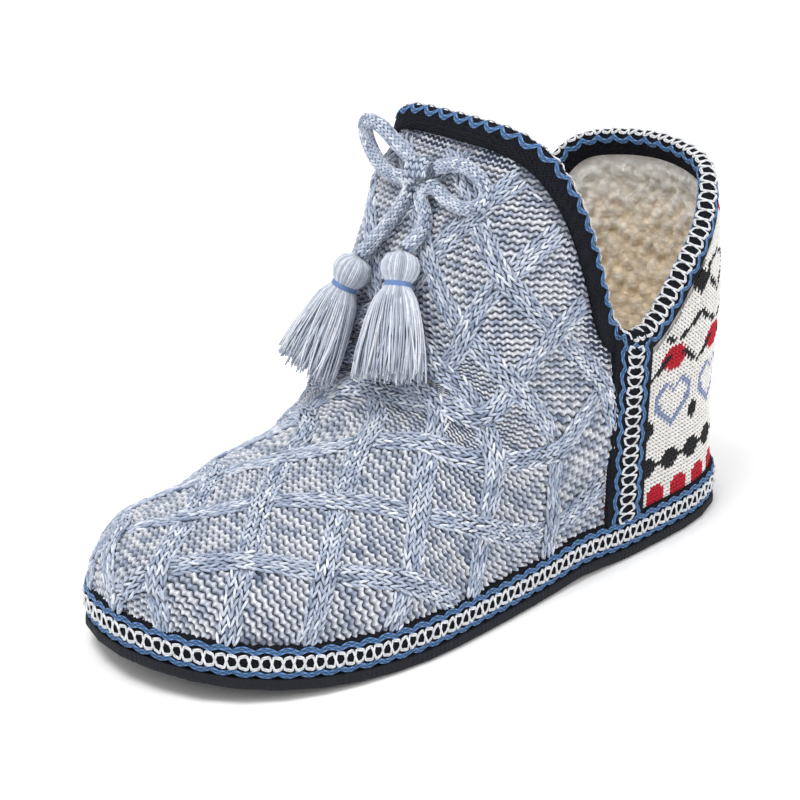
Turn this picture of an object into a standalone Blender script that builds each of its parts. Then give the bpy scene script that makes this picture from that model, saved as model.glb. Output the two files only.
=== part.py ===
"""Bootie slipper for the left foot: knitted upper with a high front flap, a ribbon folded over its
collar, ribbon tapes down both side seams, a ribbon round the sole edge, a flat outsole, a fleece
insole and a cord bow whose two ends carry tassels.

Frame: +X to the toe, +Y to the wearer's left (the outer side), +Z up. The origin is on the floor,
under the outsole, half way along its length. All sizes are in metres.
"""
import math

import bmesh
import bpy
import numpy as np
from mathutils import Vector
from mathutils.bvhtree import BVHTree

# Overall sizes of the finished slipper
LENGTH = 0.256            # back of the heel to the tip of the toe, over the knit
BALL_WIDTH = 0.106        # across the ball of the foot, over the knit
TONGUE_HEIGHT = 0.156     # top of the front flap, above the floor
HEEL_HEIGHT = 0.131       # top of the collar at the back
SIDE_HEIGHT = 0.080       # lowest point of the collar, over each side seam
INSTEP_HEIGHT = 0.070     # where the front of the foot turns up into the flap
ANKLE_FLARE = 1.06        # how much wider the ankle stands at the collar than on the sole
TOE_SPRING = 0.008        # lift of the sole at the tip of the toe
ARCH_RISE = 0.0012        # lift of the sole between heel and ball
ARCH_AT, ARCH_SPAN = 0.375, 0.085   # middle and half length of that lift, shares of LENGTH
TOE_TURN = 0.002          # how far the toe turns in, to the wearer's right

# Thicknesses and edges
WALL = 0.003              # knit and its backing
SOLE_THICKNESS = 0.004
SOLE_EDGE = 0.0028        # how far the outsole stands out past the knit
SOLE_ROUND = 0.0014       # rounding of the outsole's lower edge
BAND_TOP = 0.0148         # top of the ribbon round the sole, above the floor
BAND_THICKNESS = 0.0016
INSOLE_THICKNESS = 0.006
TAPE_WIDTH = 0.021        # ribbon over each side seam
TAPE_THICKNESS = 0.0012
BINDING_DEPTH = 0.0105    # ribbon folded over the collar, on each face
BINDING_THICKNESS = 0.0012
CLEAR = 0.0003            # gap that touching pieces keep

# Bow and tassels
CORD_DIAMETER = 0.0050
KNOT_RADIUS = 0.0062
TASSEL_HEAD = 0.0130      # diameter of the round head
TASSEL_LENGTH = 0.043     # head and skirt together
TASSEL_SPREAD = 0.0120    # half width of the skirt at its lower end
TASSEL_DEPTH = 0.0080     # half depth of the skirt there, square to the knit it lies on
LOCKS = 11                # locks of yarn round a skirt

# Plan of the sole: share of LENGTH, then half width left and right as shares of half BALL_WIDTH
PLAN = (
    (0.000, 0.00, 0.00), (0.030, 0.46, 0.46), (0.110, 0.70, 0.70), (0.240, 0.79, 0.77),
    (0.400, 0.84, 0.80), (0.560, 0.94, 0.92), (0.700, 1.00, 1.00), (0.830, 0.93, 0.95),
    (0.920, 0.75, 0.77), (0.975, 0.46, 0.48), (1.000, 0.00, 0.00))

# Middle line over the foot: share of LENGTH, share of INSTEP_HEIGHT, share of the flap above it
RIDGE = (
    (1.000, 0.370, 0.00), (0.975, 0.490, 0.00), (0.920, 0.570, 0.00), (0.840, 0.645, 0.00),
    (0.740, 0.730, 0.00), (0.640, 0.830, 0.00), (0.575, 1.000, 0.00), (0.540, 1.000, 0.23),
    (0.512, 1.000, 0.50), (0.483, 1.000, 0.76), (0.442, 1.000, 1.00))
RIDGE_BACK_SLOPE = 2.6    # the middle line's rise per length behind the flap's top edge

# Collar: share of LENGTH, share of the way from SIDE_HEIGHT to the peak that the row belongs to
COLLAR_FRONT = ((0.442, 1.000), (0.413, 0.855), (0.379, 0.610), (0.353, 0.340), (0.332, 0.115), (0.291, 0.0))
COLLAR_BACK = ((0.291, 0.0), (0.240, 0.085), (0.160, 0.440), (0.070, 0.850), (0.000, 1.000))

# Back of the heel: height as a share of HEEL_HEIGHT, forward shift as a share of HEEL_HEIGHT
HEEL_LEAN = ((0.00, 0.0), (0.107, 0.0), (0.333, 0.008), (0.63, 0.002), (0.85, 0.022), (1.04, 0.105))
HEEL_REACH = 0.30         # share of LENGTH over which the heel's shift fades out
HEEL_WAIST = (0.333, 0.163, 0.05)   # height and spread, shares of HEEL_HEIGHT, and share pulled in

SECTION_POWER = 2.41      # roundness of a cross section: 2 is an ellipse, more is squarer
FLAP_SQUARE = 0.52        # how much flatter the front of the flap is than the toe
FLAP_FROM, FLAP_TO = 0.80, 0.45     # shares of LENGTH over which that flatness comes in

# Counts of columns and rows in the upper's surface
VAMP_COLUMNS, TAPE_COLUMNS, HEEL_COLUMNS, WALL_ROWS = 15, 4, 7, 12

COLORS = {
    "outsole": (0.012, 0.012, 0.014), "sole_band": (0.06, 0.07, 0.10), "insole": (0.80, 0.74, 0.62),
    "upper": (0.36, 0.43, 0.58), "side_tape": (0.03, 0.04, 0.06), "collar_binding": (0.05, 0.06, 0.09),
    "bow": (0.40, 0.46, 0.60), "cord": (0.40, 0.46, 0.60), "tassel": (0.42, 0.49, 0.63)}


def spline(rows, steps=10):
    """A smooth curve through the rows, as a table with `steps` parts between two rows."""
    rows = np.asarray(rows, float)
    ends = np.vstack([2 * rows[0] - rows[1], rows, 2 * rows[-1] - rows[-2]])
    t = np.linspace(0.0, 1.0, steps, endpoint=False)[:, None]
    parts = []
    for a, b, c, d in zip(ends[:-3], ends[1:-2], ends[2:-1], ends[3:]):
        parts.append(0.5 * (2 * b + (c - a) * t + (2 * a - 5 * b + 4 * c - d) * t ** 2
                            + (3 * b - a - 3 * c + d) * t ** 3))
    return np.vstack(parts + [rows[-1:]])


def spaced(points, count, at=None):
    """Points at equal steps along a polyline, or at the given shares of its length."""
    points = np.asarray(points, float)
    run = np.concatenate([[0.0], np.cumsum(np.linalg.norm(np.diff(points, axis=0), axis=1))])
    wanted = np.linspace(0.0, run[-1], count) if at is None else np.asarray(at) * run[-1]
    return np.stack([np.interp(wanted, run, points[:, k]) for k in range(points.shape[1])], -1)


def plan_half(side):
    """One side of the sole's outline, from heel to toe, with round ends."""
    here, there = (1, 2) if side > 0 else (2, 1)
    half = BALL_WIDTH / 2
    loop = [(row[0] * LENGTH, side * half * row[here]) for row in PLAN]
    mirror = [(row[0] * LENGTH, -side * half * row[there]) for row in PLAN]
    loop = [mirror[1]] + loop + [mirror[-2]]
    curve = spline(loop, 12)[12:-12]
    curve[:, 0] = np.maximum.accumulate(curve[:, 0])
    return curve


PLANS = {side: plan_half(side) for side in (1, -1)}
RIDGE_LINE = spline([(a * LENGTH, b * INSTEP_HEIGHT + c * (TONGUE_HEIGHT - INSTEP_HEIGHT))
                     for a, b, c in RIDGE])[::-1]
COLLAR_LINE = np.vstack([
    spline([(a * LENGTH, SIDE_HEIGHT + b * (TONGUE_HEIGHT - SIDE_HEIGHT)) for a, b in COLLAR_FRONT])[:-1],
    spline([(a * LENGTH, SIDE_HEIGHT + b * (HEEL_HEIGHT - SIDE_HEIGHT)) for a, b in COLLAR_BACK])])
PEAK_X = COLLAR_FRONT[0][0] * LENGTH
SEAM_X = COLLAR_BACK[0][0] * LENGTH


def lift(x):
    """Height of the sole's underside over the floor: an arch, then the toe spring."""
    share = x / LENGTH
    toe = np.clip((share - 0.70) / 0.30, 0.0, 1.0)
    arch = np.clip(1.0 - abs(share - ARCH_AT) / ARCH_SPAN, 0.0, 1.0)
    return TOE_SPRING * toe ** 2 + ARCH_RISE * arch ** 2 * (3 - 2 * arch)


def ridge_height(x):
    inside = np.interp(x, RIDGE_LINE[:, 0], RIDGE_LINE[:, 1])
    return inside + np.maximum(PEAK_X - x, 0.0) * RIDGE_BACK_SLOPE


def turn(x):
    """How far the middle of the foot lies to the right of the straight line."""
    return -TOE_TURN * np.clip((x / LENGTH - 0.45) / 0.55, 0.0, 1.0) ** 2


def flap_power(x):
    """How blunt a cross section is at x: 1 on the toe, less where the flap is flat in front."""
    blend = np.clip((FLAP_FROM - x / LENGTH) / (FLAP_FROM - FLAP_TO), 0.0, 1.0)
    return 1 - FLAP_SQUARE * blend


def flare(x, z):
    """How much wider than its sole the ankle stands at x and height z."""
    behind = np.clip((0.62 - x / LENGTH) / 0.35, 0.0, 1.0)
    behind = behind * behind * (3 - 2 * behind)
    rise = np.clip((z - BAND_TOP) / (SIDE_HEIGHT - BAND_TOP), 0.0, 1.0)
    return 1 + (ANKLE_FLARE - 1) * behind * rise


def half_width(side, x):
    return np.interp(x, PLANS[side][:, 0], PLANS[side][:, 1])


def skin(side, x, angle):
    """The upper's outer face. The angle runs from 0 at the sole band to a quarter turn on top."""
    x, angle = np.broadcast_arrays(np.asarray(x, float), np.asarray(angle, float))
    share = x / LENGTH
    sine, cosine = np.clip(np.sin(angle), 0, 1), np.clip(np.cos(angle), 0, 1)
    z = BAND_TOP + (ridge_height(x) - BAND_TOP) * sine ** (2 / SECTION_POWER)
    y = half_width(side, x) * cosine ** flap_power(x) * flare(x, z)
    back = np.clip(1 - share / HEEL_REACH, 0.0, 1.0)
    level, spread, pull = HEEL_WAIST
    y = y * (1 - pull * back * np.exp(-((z / HEEL_HEIGHT - level) / spread) ** 2))
    lean = np.array(HEEL_LEAN) * HEEL_HEIGHT
    x_out = x + back * np.interp(z, lean[:, 0], lean[:, 1])
    return np.stack([x_out - LENGTH / 2, y + turn(x), z + lift(x)], -1)


def unskin(side, point):
    """The x and angle of points near the skin in front of the side tape."""
    x = np.minimum(point[:, 0] + LENGTH / 2, LENGTH * 0.99995)
    z = point[:, 2] - lift(x)
    rise = np.clip((z - BAND_TOP) / (ridge_height(x) - BAND_TOP), 0.0, 1.0)
    wide = np.clip((point[:, 1] - turn(x)) / (half_width(side, x) * flare(x, z)), 0.0, 1.0)
    angle = np.arctan2(rise ** (SECTION_POWER / 2), wide ** (1 / flap_power(x)))
    return np.stack([x, angle], -1)


def angle_at(x, z):
    """The angle at which the skin over x reaches height z, before the sole's lift."""
    rise = np.clip((z - BAND_TOP) / (ridge_height(x) - BAND_TOP), 0.0, 1.0)
    return np.arcsin(rise ** (SECTION_POWER / 2))


def along_skin(side, path, count, at=None):
    """A path of (x, angle) rows, resampled by its true length on the skin."""
    path = np.asarray(path, float)
    tagged = np.hstack([skin(side, path[:, 0], path[:, 1]), path])
    run = np.concatenate([[0.0], np.cumsum(np.linalg.norm(np.diff(tagged[:, :3], axis=0), axis=1))])
    wanted = np.linspace(0.0, run[-1], count) if at is None else np.asarray(at) * run[-1]
    return np.stack([np.interp(wanted, run, path[:, k]) for k in (0, 1)], -1)


def line(start, end, count=60):
    return np.linspace(start, end, count)


def vamp_columns(side):
    """Columns of (x, angle) over the front of the foot, from its middle line to the side tape."""
    edge_x = SEAM_X + TAPE_WIDTH / 2
    collar = COLLAR_LINE[COLLAR_LINE[:, 0] >= edge_x]
    collar = np.vstack([collar, [edge_x, np.interp(edge_x, COLLAR_LINE[::-1, 0], COLLAR_LINE[::-1, 1])]])
    collar_path = np.stack([collar[:, 0], angle_at(collar[:, 0], collar[:, 1])], -1)
    collar_path[0, 1] = math.pi / 2
    fine = 80
    shares = np.linspace(0.0, 1.0, VAMP_COLUMNS + 1)
    middle = np.vstack([line((LENGTH, 0.0), (LENGTH, math.pi / 2), 20),
                        line((LENGTH, math.pi / 2), (PEAK_X, math.pi / 2), 200)])
    middle = along_skin(side, middle, fine)
    edge = along_skin(side, line((edge_x, 0.0), collar_path[-1]), fine)
    base = along_skin(side, line((LENGTH, 0.0), (edge_x, 0.0), 300), 0, shares)
    top = along_skin(side, collar_path, 0, shares)
    v = np.linspace(0.0, 1.0, fine)[:, None]
    solid = [skin(side, path[:, 0], path[:, 1]) for path in (middle, edge, base, top)]
    columns = [middle]
    for lam, low, high in list(zip(shares, solid[2], solid[3]))[1:-1]:
        across = (1 - lam) * solid[0] + lam * solid[1]
        up = (1 - v) * low + v * high
        corners = (1 - v) * across[0] + v * across[-1]
        columns.append(unskin(side, across + up - corners))
    return columns + [edge]


def heel_columns(side):
    """Upright columns from the tape's front edge round to the back of the heel."""
    front, back = SEAM_X + TAPE_WIDTH / 2, SEAM_X - TAPE_WIDTH / 2
    tape = np.linspace(front, back, TAPE_COLUMNS + 1)[1:]
    rest = along_skin(side, line((back, 0.0), (0.0, 0.0), 200), HEEL_COLUMNS + 1)[1:, 0]
    columns = []
    for x in np.concatenate([tape, rest]):
        high = angle_at(x, np.interp(x, COLLAR_LINE[::-1, 0], COLLAR_LINE[::-1, 1]))
        columns.append(line((x, 0.0), (x, float(high)), 80))
    return columns


def side_grid(side):
    """Rows of each column: sole edge, band top, up the wall, ribbon edge, mid ribbon, collar."""
    grid = []
    for column in vamp_columns(side) + heel_columns(side):
        points = skin(side, column[:, 0], column[:, 1])
        run = float(np.linalg.norm(np.diff(points, axis=0), axis=1).sum())
        ribbon = 1 - BINDING_DEPTH / run
        shares = list(ribbon * np.linspace(0.0, 1.0, WALL_ROWS) ** 1.3) + [(1 + ribbon) / 2, 1.0]
        rows = spaced(points, 0, shares)
        foot = rows[0].copy()
        foot[2] += SOLE_THICKNESS + CLEAR - BAND_TOP
        grid.append(np.vstack([foot, rows]))
    return grid


COLUMNS = VAMP_COLUMNS + TAPE_COLUMNS + HEEL_COLUMNS
LEFT, RIGHT = side_grid(1), side_grid(-1)
RING = LEFT + RIGHT[COLUMNS - 1:0:-1]
ROWS = len(RING[0])


def collection(name):
    group = bpy.data.collections.new(name)
    bpy.context.scene.collection.children.link(group)
    return group


def material(name):
    mat = bpy.data.materials.new(name)
    mat.use_nodes = True
    shader = mat.node_tree.nodes["Principled BSDF"]
    key = next(k for k in COLORS if name.startswith(k))
    shader.inputs["Base Color"].default_value = (*COLORS[key], 1.0)
    shader.inputs["Roughness"].default_value = 0.6 if key == "outsole" else 0.95
    shader.inputs["Metallic"].default_value = 0.0
    return mat


def piece(name, bm, smooth=True):
    """Make a named object with its own material from a finished bmesh."""
    bmesh.ops.recalc_face_normals(bm, faces=bm.faces)
    mesh = bpy.data.meshes.new(name)
    bm.to_mesh(mesh)
    bm.free()
    if smooth:
        mesh.shade_smooth()
    mesh.materials.append(material(name))
    obj = bpy.data.objects.new(name, mesh)
    GROUP.objects.link(obj)
    return obj


def loft(bm, rings, closed_rings=False):
    """Skin a row of equally long closed rings. The ends stay open unless closed_rings joins them."""
    verts = [[bm.verts.new(p) for p in ring] for ring in rings]
    pairs = list(zip(verts[:-1], verts[1:])) + ([(verts[-1], verts[0])] if closed_rings else [])
    for a, b in pairs:
        for k in range(len(a)):
            n = (k + 1) % len(a)
            bm.faces.new((a[k], a[n], b[n], b[k]))
    return verts


def close_flat(bm, ring):
    """Close an outline ring with strips straight across, so that it can follow the sole's lift."""
    half = len(ring) // 2
    bm.faces.new((ring[0], ring[1], ring[-1]))
    for k in range(1, half - 1):
        bm.faces.new((ring[k], ring[k + 1], ring[-k - 1], ring[-k]))
    bm.faces.new((ring[half - 1], ring[half], ring[half + 1]))


def outline(offset, height):
    """The sole's outline, moved out by the offset, at a height over the sole's underside."""
    base = np.array([column[0] for column in RING])
    tangent = np.roll(base, -1, axis=0) - np.roll(base, 1, axis=0)
    normal = np.stack([-tangent[:, 1], tangent[:, 0]], -1)
    normal /= np.linalg.norm(normal, axis=1)[:, None]
    if (normal[0] * base[0, :2]).sum() < 0:
        normal = -normal
    moved = base[:, :2] + offset * normal
    # both sides of a strip keep the same x, so that strips across stay straight
    moved[1:COLUMNS, 0] = (moved[1:COLUMNS, 0] + moved[:COLUMNS:-1, 0]) / 2
    moved[:COLUMNS:-1, 0] = moved[1:COLUMNS, 0]
    level = base[:, 0].copy()
    level[1:COLUMNS] = (level[1:COLUMNS] + level[:COLUMNS:-1]) / 2
    level[:COLUMNS:-1] = level[1:COLUMNS]
    z = lift(level + LENGTH / 2) + height
    return np.stack([moved[:, 0], moved[:, 1], z], -1)


def slab(name, rings):
    bm = bmesh.new()
    verts = loft(bm, rings)
    close_flat(bm, verts[0])
    close_flat(bm, verts[-1])
    return piece(name, bm)


def upper_surface():
    """The open surface of the upper, with its vertices in RING order, row by row."""
    bm = bmesh.new()
    verts = [[bm.verts.new(column[row]) for column in RING] for row in range(ROWS)]
    for low, high in zip(verts[:-1], verts[1:]):
        for k in range(len(low)):
            n = (k + 1) % len(low)
            bm.faces.new((low[k], low[n], high[n], high[k]))
    bmesh.ops.recalc_face_normals(bm, faces=bm.faces)
    return bm


def solidify(obj, thickness, offset):
    shell = obj.modifiers.new("wall", "SOLIDIFY")
    shell.thickness = thickness
    shell.offset = offset
    shell.use_even_offset = False
    return shell


bpy.context.view_layer.update()
for old in list(bpy.data.objects):
    bpy.data.objects.remove(old)
GROUP = collection("bootie_slipper")

# Upper: one open surface with a wall grown inwards
upper = piece("upper", upper_surface())
solidify(upper, WALL, -1.0)
NORMALS = np.array([v.normal[:] for v in upper.data.vertices]).reshape(ROWS, len(RING), 3)
SKIN = np.array([v.co[:] for v in upper.data.vertices]).reshape(ROWS, len(RING), 3)


def off_skin(row, k, distance):
    """A point of the upper's own grid, moved out along its normal."""
    k %= len(RING)
    return SKIN[row, k] + NORMALS[row, k] * distance


# Outsole, with a rounded lower edge, and the insole inside the upper
slab("outsole", [
    outline(SOLE_EDGE - SOLE_ROUND, 0.0), outline(SOLE_EDGE - 0.3 * SOLE_ROUND, 0.3 * SOLE_ROUND),
    outline(SOLE_EDGE, SOLE_ROUND), outline(SOLE_EDGE, SOLE_THICKNESS - 0.3 * SOLE_ROUND),
    outline(SOLE_EDGE - 0.3 * SOLE_ROUND, SOLE_THICKNESS)])
inner = -WALL - 2 * CLEAR
bottom = SOLE_THICKNESS + CLEAR
slab("insole", [
    outline(inner - 0.0005, bottom), outline(inner, bottom + 0.0008),
    outline(inner, bottom + 0.6 * INSOLE_THICKNESS),
    outline(inner - 0.0016, bottom + 0.93 * INSOLE_THICKNESS),
    outline(inner - 0.005, bottom + INSOLE_THICKNESS)])


def strip(name, columns, rows, thickness, closed, trims=(0.0, 0.0)):
    """A ribbon laid on the upper's own grid, CLEAR of it, with its ends trimmed back."""
    bm = bmesh.new()
    lines = []
    for row in rows:
        lines.append([off_skin(row, k, CLEAR) for k in columns])
    lines = np.array(lines)
    for end, nxt, trim in ((0, 1, trims[0]), (-1, -2, trims[1])):
        step = lines[nxt] - lines[end]
        lines[end] += step / np.linalg.norm(step, axis=1)[:, None] * trim
    verts = [[bm.verts.new(p) for p in one] for one in lines]
    span = len(columns) if closed else len(columns) - 1
    for low, high in zip(verts[:-1], verts[1:]):
        for k in range(span):
            n = (k + 1) % len(columns)
            bm.faces.new((low[k], low[n], high[n], high[k]))
    obj = piece(name, bm)
    # outwards is away from the shoe's middle
    face = obj.data.polygons[0]
    away = Vector((face.center[0], face.center[1], 0.0)).dot(face.normal) > 0
    solidify(obj, thickness, 1.0 if away else -1.0)
    return obj


# Ribbon round the sole edge, and the tapes over the side seams
strip("sole_band", range(len(RING)), (0, 1), BAND_THICKNESS, True)
first = VAMP_COLUMNS
left_tape = range(first, first + TAPE_COLUMNS + 1)
right_tape = [len(RING) - k for k in left_tape]
wall_rows = range(1, WALL_ROWS + 1)
strip("side_tape_left", left_tape, wall_rows, TAPE_THICKNESS, False, (CLEAR, CLEAR))
strip("side_tape_right", right_tape, wall_rows, TAPE_THICKNESS, False, (CLEAR, CLEAR))


def binding_section(k):
    """One section of the ribbon folded over the collar: down outside, up, over and down inside."""
    top, mid, low = ROWS - 1, ROWS - 2, ROWS - 3
    rise = SKIN[top, k] - SKIN[mid, k]
    rise = rise / np.linalg.norm(rise)
    out = NORMALS[top, k]
    centre = SKIN[top, k] - out * WALL / 2
    inner_r = WALL / 2 + CLEAR
    outer_r = inner_r + BINDING_THICKNESS
    face, far = CLEAR, CLEAR + BINDING_THICKNESS
    section = [off_skin(low, k, far), off_skin(mid, k, far), off_skin(top, k, far)]
    section += [centre + out * outer_r * math.cos(a) + rise * (CLEAR + outer_r * math.sin(a) * 0.8)
                for a in (math.pi * 0.25, math.pi * 0.5, math.pi * 0.75)]
    section += [off_skin(row, k, -WALL - far) for row in (top, mid, low)]
    section += [off_skin(row, k, -WALL - face) for row in (low, mid, top)]
    section += [centre + rise * (CLEAR + inner_r * 0.8)]
    section += [off_skin(row, k, face) for row in (top, mid, low)]
    return section


bm = bmesh.new()
loft(bm, [binding_section(k) for k in range(len(RING))], closed_rings=True)
piece("collar_binding", bm)


def front_face(y, z):
    """The point on the front of the foot at height z and y to the left."""
    side = 1 if y >= 0 else -1
    ridge_x = np.interp(z, *RIDGE_LINE[::-1].T[::-1])
    xs = ridge_x - np.linspace(0.0, 1.0, 400) ** 2 * (ridge_x - SEAM_X)
    here = skin(side, xs, angle_at(xs, z))
    out = side * (here[:, 1] - here[0, 1])
    return np.array([np.interp(side * y, out, here[:, k]) for k in range(3)])


def front_point(y, z, out=0.0):
    """A point over the front of the foot, `out` off the knit."""
    step = 0.0015
    across = front_face(y + step, z) - front_face(y - step, z)
    up = front_face(y, z + step) - front_face(y, z - step)
    normal = np.cross(across, up)
    normal /= np.linalg.norm(normal)
    return front_face(y, z) + normal * (out if normal[0] > 0 else -out)


def seat(points, over):
    """Lay points on the facets of the knit, at the given heights clear of it."""
    laid = []
    for point, height in zip(points, over):
        near = KNIT.find_nearest(Vector(point))[0]
        away = (Vector(point) - near).normalized()
        laid.append(np.array(near + away * height))
    return np.array(laid)


def tube(name, points, diameter):
    """A cord through the points, as a poly line with round section and filled ends."""
    path = np.array(points)
    path = spaced(path, max(8, int(round(np.linalg.norm(np.diff(path, axis=0), axis=1).sum()
                                         / (2.2 * diameter) * 2))))
    curve = bpy.data.curves.new(name, "CURVE")
    curve.dimensions = "3D"
    curve.bevel_depth = diameter / 2
    curve.bevel_resolution = 2
    curve.use_fill_caps = True
    poly = curve.splines.new("POLY")
    poly.points.add(len(path) - 1)
    for point, co in zip(poly.points, path):
        point.co = (*co, 1.0)
    curve.materials.append(material(name))
    obj = bpy.data.objects.new(name, curve)
    GROUP.objects.link(obj)
    return obj


# Bow: a knot on the flap, two loops beside it and two ends below it. Each row is y and z on the
# flap, and the clear height over the knit, all in metres
HALF = CORD_DIAMETER / 2
KNOT_AT = (-0.004, 0.1380)
LOOP_LEFT = ((0.0034, 0.1412, 0.001), (0.0110, 0.1430, 0.001), (0.0185, 0.1415, 0.001),
             (0.0235, 0.1370, 0.0), (0.0225, 0.1325, 0.0), (0.0165, 0.1310, 0.0),
             (0.0100, 0.1318, 0.0), (0.0034, 0.1345, 0.001))
LOOP_RIGHT = ((-0.0114, 0.1412, 0.001), (-0.0170, 0.1440, 0.004), (-0.0230, 0.1470, 0.008),
              (-0.0290, 0.1450, 0.009), (-0.0270, 0.1390, 0.005), (-0.0195, 0.1350, 0.002),
              (-0.0114, 0.1345, 0.001))
END_LEFT = ((-0.0022, 0.1305, 0.001), (0.0025, 0.1245, 0.0), (0.0015, 0.1190, 0.0010),
            (-0.0005, 0.1140, 0.0042))
END_RIGHT = ((-0.0078, 0.1308, 0.001), (-0.0125, 0.1225, 0.0), (-0.0168, 0.1150, 0.0010),
             (-0.0195, 0.1080, 0.0042))

KNIT = BVHTree.FromPolygons([v.co for v in upper.data.vertices],
                           [tuple(f.vertices) for f in upper.data.polygons])
knot_base = np.array(KNIT.find_nearest(Vector(front_point(*KNOT_AT)))[0])
knot_out = front_point(*KNOT_AT, 1.0) - front_point(*KNOT_AT)
KNOT_CENTRE = knot_base + knot_out * (KNOT_RADIUS * 0.8 + 2 * CLEAR)
bm = bmesh.new()
bmesh.ops.create_uvsphere(bm, u_segments=14, v_segments=9, radius=KNOT_RADIUS)
flat = Vector(knot_out).to_track_quat("Z", "Y")
for v in bm.verts:
    v.co.z *= 0.8
    v.co = flat @ v.co + Vector(KNOT_CENTRE)
piece("bow_knot", bm)


def cord_path(rows, ends):
    """A smooth cord route over the flap. `ends` tells which of its ends start at the knot."""
    table = spline(rows, 8)
    points = np.array([front_point(y, z, HALF) for y, z, over in table])
    laid = seat(points, HALF + 1.3 * CLEAR + table[:, 2])
    for end in ends:
        radial = laid[end] - KNOT_CENTRE
        laid[end] = KNOT_CENTRE + radial / np.linalg.norm(radial) * (KNOT_RADIUS + 2 * CLEAR)
    return laid


ROUTES = {"bow_loop_left": cord_path(LOOP_LEFT, (0, -1)), "bow_loop_right": cord_path(LOOP_RIGHT, (0, -1)),
          "cord_end_left": cord_path(END_LEFT, (0,)), "cord_end_right": cord_path(END_RIGHT, (0,))}
for name, route in ROUTES.items():
    tube(name, route, CORD_DIAMETER)


def tassel(name, top, bottom, out):
    """A round head, a wrapped neck and a skirt whose locks are fused and end unevenly."""
    axis = np.array(bottom) - np.array(top)
    axis = axis / np.linalg.norm(axis)
    side = np.cross(axis, out)
    side /= np.linalg.norm(side)
    depth = np.cross(side, axis)
    if np.dot(depth, out) < 0:
        depth = -depth
    r = TASSEL_HEAD / 2
    # share of the length, half width, half depth, and how deep the locks are cut
    profile = ((0.015, 0.35 * r, 0.35 * r, 0.0), (0.05, 0.75 * r, 0.75 * r, 0.0), (0.11, r * 0.98, r * 0.98, 0.0),
               (0.18, r, r, 0.0), (0.25, 0.86 * r, 0.86 * r, 0.0), (0.28, 0.74 * r, 0.74 * r, 0.0),
               (0.33, 0.74 * r, 0.74 * r, 0.0), (0.36, 0.80 * r, 0.76 * r, 0.05),
               (0.48, 1.10 * r, 0.95 * r, 0.08), (0.65, 0.52 * (r + TASSEL_SPREAD), 0.5 * (r + TASSEL_DEPTH), 0.10),
               (0.82, 0.9 * TASSEL_SPREAD, 0.94 * TASSEL_DEPTH, 0.12),
               (0.97, TASSEL_SPREAD, TASSEL_DEPTH, 0.14))
    steps = 3 * LOCKS
    rings = []
    for share, wide, deep, cut in profile:
        ring = []
        for k in range(steps):
            a = 2 * math.pi * k / steps
            lock = 1 - cut * (0.5 + 0.5 * math.cos(LOCKS * a))
            drop = share * TASSEL_LENGTH
            if share > 0.9:
                drop += 0.0012 * math.sin(2.7 * k) - 0.002 * cut * 10 * (0.5 + 0.5 * math.cos(LOCKS * a)) / 2
            ring.append(np.array(top) + axis * drop + side * (wide * lock * math.cos(a))
                        + depth * (deep * lock * math.sin(a)))
        rings.append(ring)
    bm = bmesh.new()
    verts = loft(bm, rings)
    for ring, share in ((verts[0], 0.0), (verts[-1], 0.93)):
        tip = bm.verts.new(np.array(top) + axis * share * TASSEL_LENGTH)
        for k in range(steps):
            bm.faces.new((ring[k], ring[(k + 1) % steps], tip))
    return piece(name, bm)


# Each tassel hangs from its cord's end and lies on the instep. Each row is y and z of its foot
TASSEL_FEET = {"tassel_left": ("cord_end_left", (0.0080, 0.0760)),
               "tassel_right": ("cord_end_right", (-0.0270, 0.0720))}
TASSEL_LIE = TASSEL_DEPTH + 2 * CLEAR + 0.0020
for name, (cord, foot) in TASSEL_FEET.items():
    low = front_point(*foot, TASSEL_LIE)
    end = ROUTES[cord][-1]
    fall = (ROUTES[cord][-1] - ROUTES[cord][-3]) + (low - end) / np.linalg.norm(low - end) * 0.004
    high = end + fall / np.linalg.norm(fall) * 3.5 * CLEAR
    tassel(name, high, low, front_point(*foot, 1.0) - front_point(*foot))
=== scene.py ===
# %% [markdown]
# # A knitted bootie slipper
# The slipper has a soft sole, a fleece lining, a knitted front with raised crossing cables, a fine
# patterned knit round the heel, one woven ribbon on all edges and a cord bow with two tassels.
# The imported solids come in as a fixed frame. Every new piece is laid on the same smooth foot shape
# that the solids were cut from, so nothing has to be fitted by eye.

# %% Load the frame
import functools
import math

import bmesh
import bpy
import numpy as np
from mathutils import Matrix, Vector
from mathutils.bvhtree import BVHTree
from mathutils.kdtree import KDTree


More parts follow.
